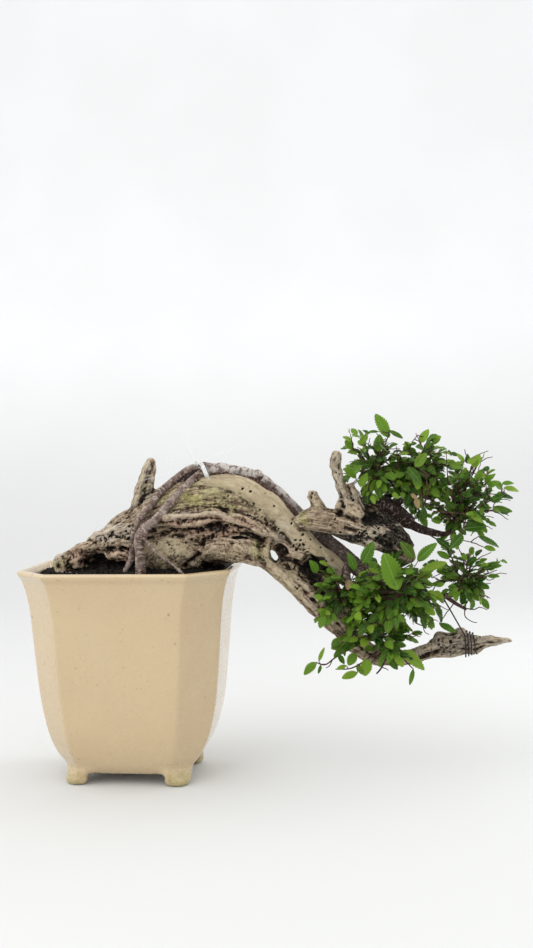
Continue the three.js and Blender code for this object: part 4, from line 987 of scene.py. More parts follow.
# Knobs and rough spots on the bark, where twigs once grew
liveDetails = {
    "knob at the fork of the stems": makeLimb(2, path=[(13, -31, 171, 3.2), (16, -30, 176, 3.8)]),
    "swelling after the tie": makeLimb(2, path=[
        (60, -7, 216, 3.6), (66, -6, 217.5, 4.2), (72, -5, 216, 3.6),
    ]),
    "scar on the vein": makeLimb(2, path=[(90, -2, 212, 3.4), (92, -3, 213, 3.4), (94, -2, 211, 2.6)]),
}


# The limbs under one skin with bark plates and rings; numbers mark the vein's upper side over the trunk,
# paler bark with a painted highlight, and its underside, the wood deep in the crown and the seam between the
# stems, for painted shade
def livingWoodMesh():
    look, limbs = livingWood, liveLimbs
    parts = [limbSkin(limb, 16) for limb in (*limbs.values(), *liveDetails.values())]
    mesh = oneSkin("living_bark", parts, look["voxel"])
    points, normals = pointsOf(mesh), normalsOf(mesh)
    layers = [(2.8, 3, True), (2.2, 0.3, False), (1.3, 0.5, False), (9, 2, False)]
    plates, rings, flecks, swell = grainNoise(points, limbs.values(), layers)
    relief = look["plateHeight"] * plates + look["ringHeight"] * rings + 0.12 * flecks + 0.25 * swell
    movePoints(mesh, points + normals * relief[:, None])
    normals = normalsOf(mesh)
    points = pointsOf(mesh)
    x, z = points[:, 0], points[:, 2]
    # How deep a point lies in a groove, for painted shade in the creases
    keepNumber(mesh, "crease", np.clip(grooveDepth(mesh, points, normals, 3) / 0.18, -1, 1.5))
    keepNumber(mesh, "rings", np.clip(0.5 + 0.5 * rings, 0, 1))
    keepNumber(mesh, "flecks", np.clip(0.5 + 0.5 * flecks, 0, 1))
    names = "front stem and vein", "back stem", "shaded wood under the vein", "wood between the stems"
    vein, second, dark, gap = (besideLimb(points, limbs[name], 4)[0] for name in names)
    above = smoothStep(54, 66, x) * smoothStep(150, 190, z)
    lean = normals[:, 2] - 0.25 * normals[:, 1] - 0.34 * smoothStep(84, 108, x)
    upper = smoothStep(-0.15, 0.15, vein - dark) * smoothStep(-0.5, 0.15, lean)
    keepNumber(mesh, "above", above * upper)
    # The vein's upper side gets a painted highlight and its underside painted shade
    keepNumber(mesh, "below", above * smoothStep(0.7, 0.3, upper))
    # Painted shade deep inside the crown and in the seam between the stems
    inner = smoothStep(108, 140, x) * (0.75 + 0.25 * smoothStep(160, 172, z))
    seam = smoothStep(-0.15, 0.1, gap - np.maximum(vein, second)) * (gap > 0.2)
    keepNumber(mesh, "inner", np.maximum(inner, seam))
    return mesh


def livingWoodMaterial():
    look = livingWood
    s = Shader("living bark", 0.2)
    fine = s.noise(900, 5, 0.65)
    colour = s.coats(look["bark"], look, (s.noise(140, 4, 0.6), 0.35, 0.7, 1, "redBarkAndShade"),
                     (s.number("rings"), 0.56, 0.76, 0.8, "ring"))
    pale = s.coats(look["paleBarkAndHighlight"], look, (s.noise(260, 5, 0.7), 0.46, 0.62, 0.85, "redBarkAndShade"))
    # The vein's upper side: paler bark with a painted highlight where it faces up
    colour = s.mix(s.times(s.number("above"), 0.85), colour, pale)
    # Painted shade under the vein, inside the crown and between the stems
    colour = s.films(colour, look, (s.number("below"), 0.9, "redBarkAndShade"),
                     (s.number("inner"), 0.92, "darkBarkAndShade"))
    # Flecks and fine dark spots are the bark's own; the creases get painted shade
    colour = s.coats(colour, look, (s.number("flecks"), 0.55, 0.8, 0.45, "ring"),
                     (s.number("crease"), 0.0, 1.0, 0.9, "darkBarkAndShade"), (fine, 0.55, 0.75, 0.35, "darkBarkAndShade"))
    height = s.total((s.number("rings"), 0.7), (fine, 0.6))
    dull = s.between(fine, 0.3, 0.7, (0.65, 0.9))
    return s.done(colour=colour, roughness=dull, normal=s.bump(height, 0.55, 0.0005))


finish(newObject("living_bark", livingWoodMesh()), livingWoodMaterial(), ["live_stem"])

# Pot

potShape = {
    "lipWidth": 150,
    "lipDepth": 110,
    "lipLeg": 25,
    "height": 149,
    "wall": 5,
    "floorTop": 13,
    "drainRadius": 9,
    "edgeRadius": 5,  # of the upright edges; they get sharper towards the lip
    "arcSteps": 7,
    "sideSteps": 9,
    "slump": (0.35, 0.12),  # how far the fired walls are off their true form, in broad and in small waves
    "glaze": seen(197, 175, 137),
    "warmGlaze": seen(192, 167, 130),
    "paleGlaze": seen(204, 187, 153),
    "fleck": seen(128, 92, 58),
    "lichen": seen(140, 136, 58),
    "dirtAndShade": seen(74, 62, 44),
}

# height, half width, half depth and corner leg of the outside, from the bottom up
potProfile = [
    (7, 37, 28.5, 10), (8.6, 41, 31.8, 11.5), (14, 47, 36.2, 14), (21, 51.8, 39.4, 16.4),
    (30, 56, 42.2, 18.8), (42, 59.5, 44.4, 20.8), (60, 62.8, 46, 22.3), (90, 65.8, 47.8, 23.4),
    (118, 68, 49.4, 24.1), (132, 70, 51, 24.4), (140, 72, 52.4, 24.6), (142.8, 73, 53.2, 24.7),
    (144.7, 74.2, 54.3, 24.9), (146.8, 75, 55, 25), (148.3, 74.5, 54.5, 25), (149, 73, 53, 25),
]

# height of a foot, half its width along the cut corner and half its depth across it, from the floor up
footProfile = [
    (0, 5.2, 4.2), (0.3, 6.8, 5.2), (1.4, 8.4, 6.3), (3, 9.5, 6.9), (5, 10.6, 7), (7, 11.6, 6.6),
    (9, 12.6, 5.6), (11, 12.8, 4.2), (13, 11, 2.6),
]
footPlace = (36.2, 27.6)
cornerShare = 0.586  # a corner leg gets shorter by this share of a wall's inset


# Outlines with eight sides at every 45 degrees and round corners, one for each row of height, half width,
# half depth, corner leg and corner radius: each corner of the outline drawn in by the radius carries an arc
def cornerOutlines(rows):
    z, halfWidth, halfDepth, leg, radius = np.array(rows, float).T
    slant = (halfWidth + halfDepth - leg) / math.sqrt(2)
    reach = np.stack([halfWidth, slant, halfDepth, slant] * 2, 1) - radius[:, None]
    angle = np.arange(8) * math.pi / 4
    beyond = (np.roll(reach, -1, 1) - reach * math.cos(math.pi / 4)) / math.sin(math.pi / 4)
    cornerX = reach * np.cos(angle) - beyond * np.sin(angle)
    cornerY = reach * np.sin(angle) + beyond * np.cos(angle)
    turn = angle[:, None] + np.linspace(0, math.pi / 4, potShape["arcSteps"])[None]
    x = cornerX[:, :, None] + radius[:, None, None] * np.cos(turn)
    y = cornerY[:, :, None] + radius[:, None, None] * np.sin(turn)
    share = np.linspace(0, 1, potShape["sideSteps"] + 1)[1:-1]
    nextX, nextY = np.roll(x, -1, 1)[:, :, :1], np.roll(y, -1, 1)[:, :, :1]
    sideX = x[:, :, -1:] * (1 - share) + nextX * share
    sideY = y[:, :, -1:] * (1 - share) + nextY * share
    x, y = np.concatenate([x, sideX], 2), np.concatenate([y, sideY], 2)
    height = np.broadcast_to(z[:, None, None], x.shape)
    return np.stack([x, y, height], -1).reshape(len(rows), -1, 3)


# The outside between two profile rows by height, with more rows where it bends
def outsideRows(count=64):
    place = np.linspace(0, len(potProfile) - 1, count)
    start = np.minimum(place.astype(int), len(potProfile) - 2)
    t = (place - start)[:, None]
    rows = np.array(potProfile, float)
    a, b, c, d = (rows[np.clip(start + i, 0, len(rows) - 1)] for i in (-1, 0, 1, 2))
    return 0.5 * (2 * b + (c - a) * t + (2 * a - 5 * b + 4 * c - d) * t**2 + (3 * b - a - 3 * c + d) * t**3)


# All rows of the pot's skin: the outside, over the lip, down the inside and through the drain hole
def potRows():
    s = potShape
    outside = outsideRows()
    radius = (s["edgeRadius"] * (1 - 0.5 * smoothStep(50, 140, outside[:, 0])))[:, None]
    rows = np.concatenate([outside, radius], 1).tolist()

    def inset(z, halfWidth, halfDepth, leg, by):
        rows.append([z, halfWidth - by, halfDepth - by, leg - by * cornerShare, 4])

    for by, drop in ((3.0, 0.05), (4.0, 0.6), (4.9, 1.8), (5.4, 3.6)):
        inset(s["height"] - drop, s["lipWidth"] / 2, s["lipDepth"] / 2, s["lipLeg"], by)
    for row in outside[::-4]:
        if s["floorTop"] + 4 < row[0] < 140:
            inset(*row, s["wall"])
    for z, by in ((14.6, 7), (13, 12)):
        inset(z, 47, 36.2, 14, by)
    for z, wider in ((13, 6), (13, 0.8), (12.4, 0), (7.6, 0), (7, 0.8), (7, 12)):
        r = s["drainRadius"] + wider
        rows.append([z, r, r, r * cornerShare, r * 0.99])
    return rows


# A foot: rings that follow its profile, wider along the cut corner than across it, with three faint lobes
def footSkin(signX, signY):
    angle = np.linspace(0, 2 * math.pi, 36, endpoint=False)
    rows = smoothPath([(0, 0, *row) for row in footProfile], 24)
    z, wide, deep = rows[:, 2:3], rows[:, 3:4], rows[:, 4:5]
    lobes = 1 + 0.06 * np.cos(3 * angle) + 0.03 * np.cos(7 * angle + 1)
    out, side = np.cos(angle) * deep * lobes, np.sin(angle) * wide * lobes
    root = math.sqrt(0.5)
    x = signX * footPlace[0] + (signX * out - signY * side) * root
    y = signY * footPlace[1] + (signY * out + signX * side) * root
    rings = np.stack([x, y, z + 0 * angle], -1)
    return closedSkin(rings)


# How far out a point lies between the pot's middle line, 0, and its outside at that height, 1
def insideShare(points):
    z, halfWidth, halfDepth, leg = np.array(potProfile, float).T
    halfWidth, halfDepth, leg = (np.interp(points[:, 2], z, v) for v in (halfWidth, halfDepth, leg))
    x, y = np.abs(points[:, 0]), np.abs(points[:, 1])
    return np.maximum(np.maximum(x / halfWidth, y / halfDepth), (x + y) / (halfWidth + halfDepth - leg))


# Body and feet in one skin: soft where they meet, the walls a little uneven, the feet's stains as a number
def potMesh():
    rings = cornerOutlines(potRows())
    skin = ringFaces(len(rings), rings.shape[1], True).tolist()
    body = newObject("body", newMesh("body", rings.reshape(-1, 3), skin))
    feet = newObject("feet", newMesh("feet", *stack([footSkin(x, y) for x in (1, -1) for y in (1, -1)])))
    union = body.modifiers.new("feet", "BOOLEAN")
    union.operation = "UNION"
    union.solver = "EXACT"
    union.object = feet
    mesh = applied(body)
    bpy.data.objects.remove(feet)
    mesh.shade_smooth()
    points = pointsOf(mesh)
    x, y, z = np.abs(points[:, 0]), np.abs(points[:, 1]), points[:, 2]
    crease = smoothStep(3, 7, z) * smoothStep(20, 13, z) * smoothStep(14, 20, y) * smoothStep(20, 26, x)
    movePoints(mesh, points + (relaxed(mesh, points, 18) - points) * crease[:, None])
    points, normals = pointsOf(mesh), normalsOf(mesh)
    slack = smoothStep(20, 60, points[:, 2]) * smoothStep(146, 120, points[:, 2])
    broad, small = potShape["slump"]
    uneven = broad * hills(points, 46, 4) + small * hills(points, 17, 9)
    outward = smoothStep(0.9, 0.98, insideShare(points))
    movePoints(mesh, points + normals * (uneven * slack * outward)[:, None])
    z = points[:, 2]
    crevice = np.clip(grooveDepth(mesh, points, normalsOf(mesh), 8) / 0.8, 0, 1) * smoothStep(16, 12, z)
    low = np.maximum(0.58 * smoothStep(16, 9, z) + 0.7 * crevice, smoothStep(3.4, 0.6, z))
    keepNumber(mesh, "foot", low * smoothStep(24, 32, np.abs(points[:, 0])))
    # The inside below the rim, which the material darkens as painted shade
    keepNumber(mesh, "inside", (insideShare(points) < 0.965) * smoothStep(143, 141, z))
    return mesh


def potMaterial():
    look = potShape
    s = Shader("beige glaze")
    cloudy = s.noise(16, 5, 0.6)
    streaky = s.noise(40, 4, 0.6, s.stretched((1, 1, 0.18)))
    colour = s.coats(look["glaze"], look, (cloudy, 0.3, 0.7, 0.7, "warmGlaze"),
                     (streaky, 0.45, 0.75, 0.2, "paleGlaze"))
    flecks = s.between(s.cells(95).outputs["Distance"], 0.13, 0.05)
    flecks = s.times(flecks, s.between(s.noise(28, 2), 0.46, 0.58))
    small = s.between(s.cells(330).outputs["Distance"], 0.16, 0.08)
    small = s.times(small, s.between(s.noise(60, 2), 0.52, 0.6))
    colour = s.films(colour, look, (s.math("MAXIMUM", flecks, small), 0.6, "fleck"))
    low = s.total((s.number("foot"), 1), (s.noise(180, 5, 0.7), 0.9))
    colour = s.coats(colour, look, (low, 0.8, 1.25, 0.7, "lichen"))
    # Grime on the feet is real dirt; the inside below the rim is darkened as painted shade
    grime = s.times(s.number("foot"), s.between(s.noise(420, 4, 0.7), 0.54, 0.7))
    colour = s.films(colour, look, (grime, 0.55, "dirtAndShade"), (s.number("inside"), 0.6, "dirtAndShade"))
    height = s.total((cloudy, 0.6), (flecks, -0.5))
    return s.done(colour=colour, roughness=s.between(s.noise(70, 3), 0.3, 0.7, (0.2, 0.32)),
                  normal=s.bump(height, 0.25, 0.001), coat=0.8, coatRoughness=0.1)


finish(newObject("glazed_pot", potMesh()), potMaterial(), ["pot"])

# Soil: dark granules, mounded at the trunk base

soilShape = {
    "edge": 144.5,
    "moundHeight": 8.5,
    "moundX": 18,
    "moundY": 8,
    "moundWidth": 46,
    "moundDepth": 30,
    "grains": 900,
    "grainSize": 1.1,
    "seam": 0.3,  # gap to the pot's wall
    "black": seen(14, 12, 10),
    "brown": seen(40, 30, 24),
    "pale": seen(120, 108, 90),
    "root": seen(168, 158, 138),
}


# Height of the soil: the edge, a bell-shaped mound and small waves
def soilTop(x, y):
    s = soilShape
    away = ((x - s["moundX"]) / s["moundWidth"]) ** 2 + ((y - s["moundY"]) / s["moundDepth"]) ** 2
    crumbs = np.sin(x * 0.55 + y * 0.3) * np.sin(y * 0.62 - x * 0.21)
    return s["edge"] + s["moundHeight"] * np.exp(-away) + 0.7 * crumbs


# Small grains: balls of four rings of six points, each point pushed in or out, strewn by golden angle
def grainParts():
    s = soilShape
    item = np.arange(s["grains"])
    spread = np.sqrt((item + 0.5) / s["grains"])
    turn = item * goldenAngle
    x, y = 66 * spread * np.cos(turn), 46 * spread * np.sin(turn)
    keep = np.abs(x) + np.abs(y) < 92
    x, y, item = x[keep], y[keep], item[keep]
    size = s["grainSize"] * (0.6 + 0.9 * draw(7, item, 1))
    rings = [(-0.8, 0.35, 0), (-0.2, 0.95, 0.3), (0.45, 0.8, 0.7), (0.85, 0.25, 1)]
    z, r, shift = np.array(rings).T[..., None]
    lon = np.linspace(0, 2 * math.pi, 6, endpoint=False) + shift
    shape = np.stack([r * np.cos(lon), r * np.sin(lon), 0 * lon + z], -1)
    pushed = draw(3, item[:, None, None] * 24 + np.arange(24).reshape(4, 6), 2)
    shape = shape[None] * (0.75 + 0.5 * pushed)[..., None]
    middle = np.stack([x, y, soilTop(x, y) + 0.15 * size], -1)
    return manySkins(middle[:, None, None] + shape * size[:, None, None, None])


# Rings from a skirt at the wall to the mound's middle, made rough by hills, with the grains on top
def soilMesh():
    s = soilShape
    share = np.array([1, 0.985, 0.96, *np.linspace(0.92, 0.02, 34)])[:, None]
    by = potShape["wall"] + s["seam"]
    edge = cornerOutlines([(s["edge"], 73.7 - by, 53.9 - by, 24.8 - by * cornerShare, 4)])[0]
    x = edge[None, :, 0] * share + s["moundX"] * (1 - share)
    y = edge[None, :, 1] * share + s["moundY"] * (1 - share)
    flat = np.stack([x.ravel(), y.ravel(), np.zeros(x.size)], -1)
    top = np.stack([x, y, soilTop(x, y) + (0.9 * rough(flat, 4, 3, 3)).reshape(x.shape)], -1)
    top[0, :, 2] = s["edge"] - 1
    skirt = top[:1] * [0.985, 0.985, 1] - [0, 0, 12]
    return newMesh("soil_bed", *stack([closedSkin(np.concatenate([skirt, top])), grainParts()]))


def soilMaterial():
    look = soilShape
    s = Shader("damp granules", 0.2)
    grain = s.cells(420)
    colour = s.coats(look["black"], look, (s.noise(300, 4), 0.4, 0.7, 1, "brown"))
    colour = s.films(colour, look, (s.between(grain.outputs["Color"], 0.72, 0.8), 0.1, "pale"))
    height = s.math("SUBTRACT", 1.0, grain.outputs["Distance"])
    return s.done(colour=colour, roughness=0.85, normal=s.bump(height, 0.8, 0.001))


finish(newObject("soil_bed", soilMesh()), soilMaterial(), ["soil"])


# A smooth path through points, steps pieces long
def smoothLine(rows, steps):
    return smoothPath([(*row, 1) for row in rows], steps)[None, :, :3]


# Pale root threads that lie over the soil and cling to the wood
rootThreads = [
    [(50, -33, 146), (54, -34, 147), (58, -32, 146.5), (62, -29, 145)],
    [(42, -38, 144), (47, -40, 146), (51, -39, 146.5), (53, -37, 144)],
    [(28, -38, 145), (33, -40, 147), (38, -38, 146.5), (43, -41, 144)],
    [(-30, -30, 142), (-24, -33, 144), (-18, -30, 143.5), (-12, -32, 142)],
    [(-46, -12, 142), (-40, -18, 145), (-36, -22, 144), (-30, -26, 142)],
    [(-20, 32, 142), (-8, 35, 144), (4, 33, 144.5), (16, 36, 142)],
    [(40, 30, 144), (50, 33, 145.5), (60, 30, 144), (66, 24, 142)],
]


# Tubes along the threads' paths, lifted where these would dip into the soil
def rootThreadMesh():
    parts = []
    for i, rows in enumerate(rootThreads):
        path = smoothLine(rows, 18)
        path[..., 2] = np.maximum(path[..., 2], soilTop(path[..., 0], path[..., 1]) + 0.3)
        radii = np.linspace(0.4, 0.22, 19)[None] * (0.9 + 0.3 * draw(5, i, 1))
        parts.append(tubes(path, radii, 6))
    return newMesh("root_threads", *stack(parts))


def threadMaterial(name, base, shade, roughness):
    s = Shader(name, 0.3)
    colour = s.mix(s.between(s.noise(500, 3), 0.4, 0.65), base, shade)
    return s.done(colour=colour, roughness=roughness, normal=s.bump(s.noise(1200, 2), 0.3, 0.0003))


rootLook = threadMaterial("pale root", soilShape["root"], soilShape["brown"], 0.8)
finish(newObject("root_threads", rootThreadMesh()), rootLook)

# Band round the two stems, with the clear thread ends of its knot

tieShape = {
    "middle": (53.5, -7, 216.8),
    "tall": 8.2,
    "wide": 5.6,
    "along": (0.85, 0.34, 0.4),  # the way the stems run through the band
    "width": 3,
    "thickness": 0.8,
    "sides": 56,
    "white": seen(216, 217, 216),
    "shade": seen(184, 184, 183),
    "threadRadius": 0.13,
}

threadEnds = [
    [(50, -14, 222), (47, -16, 229), (45.5, -17, 236), (46, -18, 244)],
    [(50, -14, 221), (38, -18, 217), (24, -21, 213), (9, -24, 209)],
    [(51, -14, 221), (62, -17, 226), (73, -18, 230), (86, -19, 235)],
    [(50, -15, 220), (44, -19, 224), (36, -21, 226), (28, -22, 225)],
    [(52, -14, 219), (58, -17, 214), (60, -19, 210)],
]


# An oval band round the stems and a knot; the band's section is a rounded rectangle, cosine and sine raised
# to a low power
def tieMesh():
    s = tieShape
    along = unit(np.array(s["along"]))
    wide = unit(np.cross([0, 0.67, 0.74], along))
    tall = np.cross(along, wide)
    angle = np.linspace(0, 2 * math.pi, s["sides"], endpoint=False)[:, None]
    outward = np.cos(angle) * s["tall"] * tall + np.sin(angle) * s["wide"] * wide
    turn = np.linspace(0, 2 * math.pi, 16, endpoint=False)
    section = np.array([np.cos(turn), np.sin(turn)])
    across, rise = np.sign(section) * np.abs(section) ** 0.45
    across = across * s["width"] / 2 + 0.25 * np.sin(angle * 3)
    rise = (rise * s["thickness"] / 2)[:, None] * unit(outward)[:, None]
    rings = (np.array(s["middle"]) + outward)[:, None] + across[..., None] * along + rise
    band = rings.reshape(-1, 3), [ringFaces(s["sides"], 16, True)]
    return newMesh("white_tie", *stack([band, ellipsoid((50.8, -13.4, 220.8), (1.3, 1.1, 1.2), 20, 12)]))


def threadMesh():
    parts = []
    for rows in threadEnds:
        path = smoothLine(rows, 20)
        parts.append(tubes(path, np.full((1, 21), tieShape["threadRadius"]), 6))
    return newMesh("tie_threads", *stack(parts))


tieLook = threadMaterial("white band", tieShape["white"], tieShape["shade"], 0.45)
finish(newObject("white_tie", tieMesh()), tieLook, ["tie_band"])
clear = Shader("clear thread")
clearLook = clear.done(colour=(0.95, 0.96, 0.97), alpha=0.4,
                       roughness=clear.between(clear.noise(300), 0.4, 0.6, (0.15, 0.3)))
finish(newObject("tie_threads", threadMesh()), clearLook)

# Guy wire: a loop round the bough, a straight span, and turns round the lower snag

wireShape = {
    "radius": 0.5,
    "seat": 0.35,  # gap between the wire and the wood
    "bough": 2.9,  # radius of the bough under the loop
    "snag": 8.6,  # radius of the snag under the first turn; it gets thinner by snagTaper over the turns
    "snagTaper": 2.2,
    "turns": 3,
    "dark": seen(28, 24, 22),
    "worn": seen(70, 58, 50),
}


# The wire's middle line: a circle round the bough, a straight span, a helix round the snag and a free end
def guyWireRows():
    s = wireShape
    share = np.linspace(0, 1, 25)
    angle = math.pi * (1.25 + 2.4 * (1 - share))
    r = s["bough"] + s["seat"] + s["radius"]
    loop = np.stack([218 + share * 2.2, -3 + r * np.cos(angle), 127 + r * np.sin(angle)], -1)
    share = np.linspace(0, 1, 73)
    angle = math.pi * (0.75 + 2 * s["turns"] * share)
    r = s["snag"] - s["snagTaper"] * share + s["seat"] + s["radius"]
    turns = np.stack([233.5 + share * 6, r * np.cos(angle), 93.7 + r * np.sin(angle)], -1)
    span = loop[-1] + (turns[0] - loop[-1]) * np.linspace(0.05, 0.95, 12)[:, None]
    return np.concatenate([loop, span, turns, [[240.6, -8.9, 89.6], [241.5, -9, 88]]])


wireLine = guyWireRows()[None]
wireRadii = np.full(wireLine.shape[:2], wireShape["radius"])
wireMesh = newMesh("dark_wire", *stack([tubes(wireLine, wireRadii, 10)]))
wireLook = threadMaterial("dark wire", wireShape["dark"], wireShape["worn"], 0.5)
finish(newObject("dark_wire", wireMesh), wireLook, ["guy_wire"])

# Foliage: each spray is a limb, shoots that fan out from it, side twigs on the shoots, and toothed leaves

leafLook = {
    "thickness": 0.16,
    "width": 0.62,
    "fold": 0.24,
    "droop": 0.16,
    "blade": (13, 1),  # rows along a blade and columns in each half
    "leadingBlade": (21, 2),
    "perShoot": 4,  # leaves on a shoot
    "sideTwigs": 4,  # side twigs on a shoot
    "perTwig": 3,  # leaves on a side twig
    "twigLeaf": 0.74,  # size of those against a shoot's
    "limbRadii": (2.2, 1.1),
    "shootRadii": (0.72, 0.4),
    "sideRadii": (0.42, 0.24),
    "stalkRadii": (0.42, 0.3),
    "green": seen(74, 112, 22),
    "young": seen(120, 148, 42),
    "dark": seen(24, 52, 6),
    "under": seen(104, 134, 70),
    "vein": seen(140, 166, 84),
    "dry": seen(150, 128, 92),
    "twig": seen(80, 50, 41),
    "twigShade": seen(30, 20, 18),
    "twigPale": seen(150, 126, 108),
}

# base: the bough's end; aim: the way it points there; heart: middle of the spray; reach: how far its shoots
# go; leaf: length of a leaf; face: which way the leaves look, to the front (-1) or the back; bare: share of
# side twigs with no leaves; young: share of young leaves; more: middle, reach and number of further shoots;
# above bareAbove most leaves and left of leftEdge all of them are left out
sprays = {
    "crown_left": {
        "base": (171, 3, 208), "aim": (2, -4, 9), "heart": (175, -4, 219), "reach": (17, 22, 19),
        "shoots": 7, "leaf": 8.8, "seed": 3, "face": -1, "bare": 0.5, "young": 0.3,
        "more": [((176, -4, 219), (21, 22, 20), 11), ((188, 0, 205), (15, 14, 11), 4)]},
    "crown_top": {
        "base": (200, 5, 206), "aim": (4, -3, 9), "heart": (206, 0, 218), "reach": (19, 26, 17),
        "shoots": 7, "leaf": 8.8, "seed": 5, "face": -1, "bare": 0.58, "young": 0.25,
        "more": [((208, 0, 219), (24, 24, 18), 12), ((210, 2, 198), (21, 18, 12), 7)]},
    "crown_right": {
        "base": (218, 9, 169), "aim": (12, -1, -3), "heart": (237, 2, 189), "reach": (24, 25, 25),
        "shoots": 7, "leaf": 8.2, "seed": 8, "face": -1, "bare": 0.7, "young": 0.42, "bareAbove": 213,
        "more": [((238, 2, 193), (29, 24, 23), 13), ((240, -2, 211), (18, 16, 12), 8),
                 ((228, 0, 178), (16, 18, 11), 4)]},
    "crown_back": {
        "base": (182, 32, 194), "aim": (8, 6, 6), "heart": (200, 30, 196), "reach": (24, 14, 20),
        "shoots": 6, "leaf": 9, "seed": 12, "face": 0.5, "bare": 0.25, "young": 0.1,
        "more": [((200, 30, 204), (28, 14, 18), 9)]},
    "lower_left": {
        "base": (155, -17, 136), "aim": (2, -9, -7), "heart": (152, -22, 128), "reach": (21, 13, 19),
        "shoots": 7, "leaf": 9.4, "leftEdge": 133, "seed": 17, "face": -1, "bare": 0.34, "young": 0.3,
        "more": [((155, -20, 128), (22, 15, 19), 12), ((147, -16, 122), (11, 12, 12), 4)]},
    "front": {
        "base": (184, -22, 131), "aim": (7, -9, -3), "heart": (190, -30, 134), "reach": (21, 12, 21),
        "shoots": 7, "leaf": 10.6, "seed": 21, "face": -1, "bare": 0.36, "young": 0.25,
        "more": [((188, -26, 131), (24, 14, 19), 11), ((204, -18, 121), (16, 14, 13), 6),
                 ((172, -24, 118), (18, 12, 12), 5)]},
    "lower_right": {
        "base": (231, -3, 130), "aim": (10, 0, 3), "heart": (236, -4, 140), "reach": (18, 22, 16),
        "shoots": 6, "leaf": 8.2, "seed": 26, "face": -1, "bare": 0.55, "young": 0.2,
        "more": [((230, -4, 146), (21, 20, 17), 10), ((240, -2, 130), (10, 12, 13), 5)]},
    "bottom": {
        "base": (176, -14, 102), "aim": (-2, -1, -8), "heart": (174, -16, 98), "reach": (27, 15, 13),
        "shoots": 7, "leaf": 9.8, "seed": 31, "face": -1, "bare": 0.44, "young": 0.35,
        "more": [((173, -16, 102), (26, 14, 13), 8)]},
    "lower_back": {
        "base": (174, 25, 132), "aim": (8, 9, -6), "heart": (184, 31, 128), "reach": (24, 14, 21),
        "shoots": 6, "leaf": 9.6, "seed": 37, "face": 0.5, "bare": 0.25, "young": 0.1,
        "more": [((184, 30, 130), (25, 14, 21), 9)]},
}

# Leaves that stand out by themselves: base, tip and width
leadingLeaves = {
    "crown_left": [
        ((184, -4, 237), (174, -6, 253), 9.5), ((169, -14, 218), (157, -18, 220), 8),
        ((161, -14, 210), (153, -18, 217), 7), ((164, -18, 204), (168, -20, 213), 6),
        ((176.1, -12, 227.4), (177.9, -14, 239.3), 8), ((184.1, -6, 241.8), (192.9, -8, 235.9), 4),
        ((176.6, -6, 241), (169, -8, 242.3), 2.5), ((164.3, -12, 232.9), (169.3, -14, 239.1), 5.5),
    ],
    "crown_top": [
        ((196, -26, 217), (205, -30, 207), 7.5), ((201, -22, 217), (209, -24, 226), 7),
        ((205, -6, 233), (210, -8, 242), 6), ((212, -4, 235), (219, -4, 238), 4.5),
    ],
    "crown_right": [
        ((233, -20, 175), (248, -22, 177), 9), ((236, -20, 186), (246, -24, 180), 6),
        ((243, -14, 169), (257, -16, 163), 5), ((260, -2, 204), (268, -2, 205), 4),
        ((262, 4, 201), (272.5, 4, 199), 5), ((259, 8, 195), (269, 10, 195), 4),
        ((254, 0, 188), (267, 0, 184), 5), ((232, -22, 171), (224, -30, 163), 7),
        ((246.7, -12, 161.4), (254.6, -12, 160.6), 4.5), ((236, -12, 219), (242.4, -13, 222), 5),
        ((250, -12, 203), (257, -14, 206), 5.5), ((239.8, -8, 215.7), (245.4, -10, 224), 6.5),
        ((234.2, -8, 219.3), (229.8, -10, 226), 4), ((236.3, -8, 218.4), (236.5, -10, 224.6), 4),
        ((241.3, -10, 207), (246.4, -12, 212.7), 5), ((248.3, -8, 205), (252.6, -10, 210.7), 5),
        ((259.2, -6, 200.4), (254.4, -8, 206.7), 5.5), ((248.4, -8, 208.5), (243.1, -10, 212.2), 4.5),
    ],
    "front": [
        ((165, -30, 153), (174, -34, 167), 9), ((189, -43, 137), (179, -46, 161), 15.5),
        ((199, -30, 156), (192, -34, 168), 8.5), ((202, -28, 154), (212, -32, 167), 7.5),
        ((221, -26, 153), (203, -32, 148), 6),
    ],
    "lower_left": [
        ((160, -29, 148), (157, -33, 160), 6), ((134, -24, 146), (131, -28, 155), 6.5),
    ],
    "lower_right": [
        ((249, -8, 146), (256, -10, 151), 6), ((216, -14, 110), (227, -16, 104), 5.5),
        ((223.9, -14, 160.8), (215, -14, 168.9), 5.5), ((222.8, -14, 154), (216, -14, 160), 5.5),
        ((247.8, -6, 147.4), (254.2, -8, 149), 5.5),
    ],
    "bottom": [
        ((191, -22, 93), (205, -28, 81), 9), ((198, -16, 79), (196, -18, 68), 3.5),
        ((167, -16, 86), (165, -18, 74), 8.5), ((160, -16, 76), (149, -17, 73), 6),
        ((132, -16, 83), (122, -16, 75), 6.5), ((133.7, -16, 84), (136.6, -16, 93.5), 3),
        ((135, -16, 81.5), (133.6, -16, 75), 2.5), ((147, -16, 88), (152, -17, 83), 4.5),
        ((159, -16, 90), (154, -17, 81), 7), ((152.5, -16, 81), (145.5, -17, 79), 3.5),
        ((160, -16, 82), (163, -18, 75), 4.5), ((181, -18, 88), (187, -20, 79), 6),
    ],
}

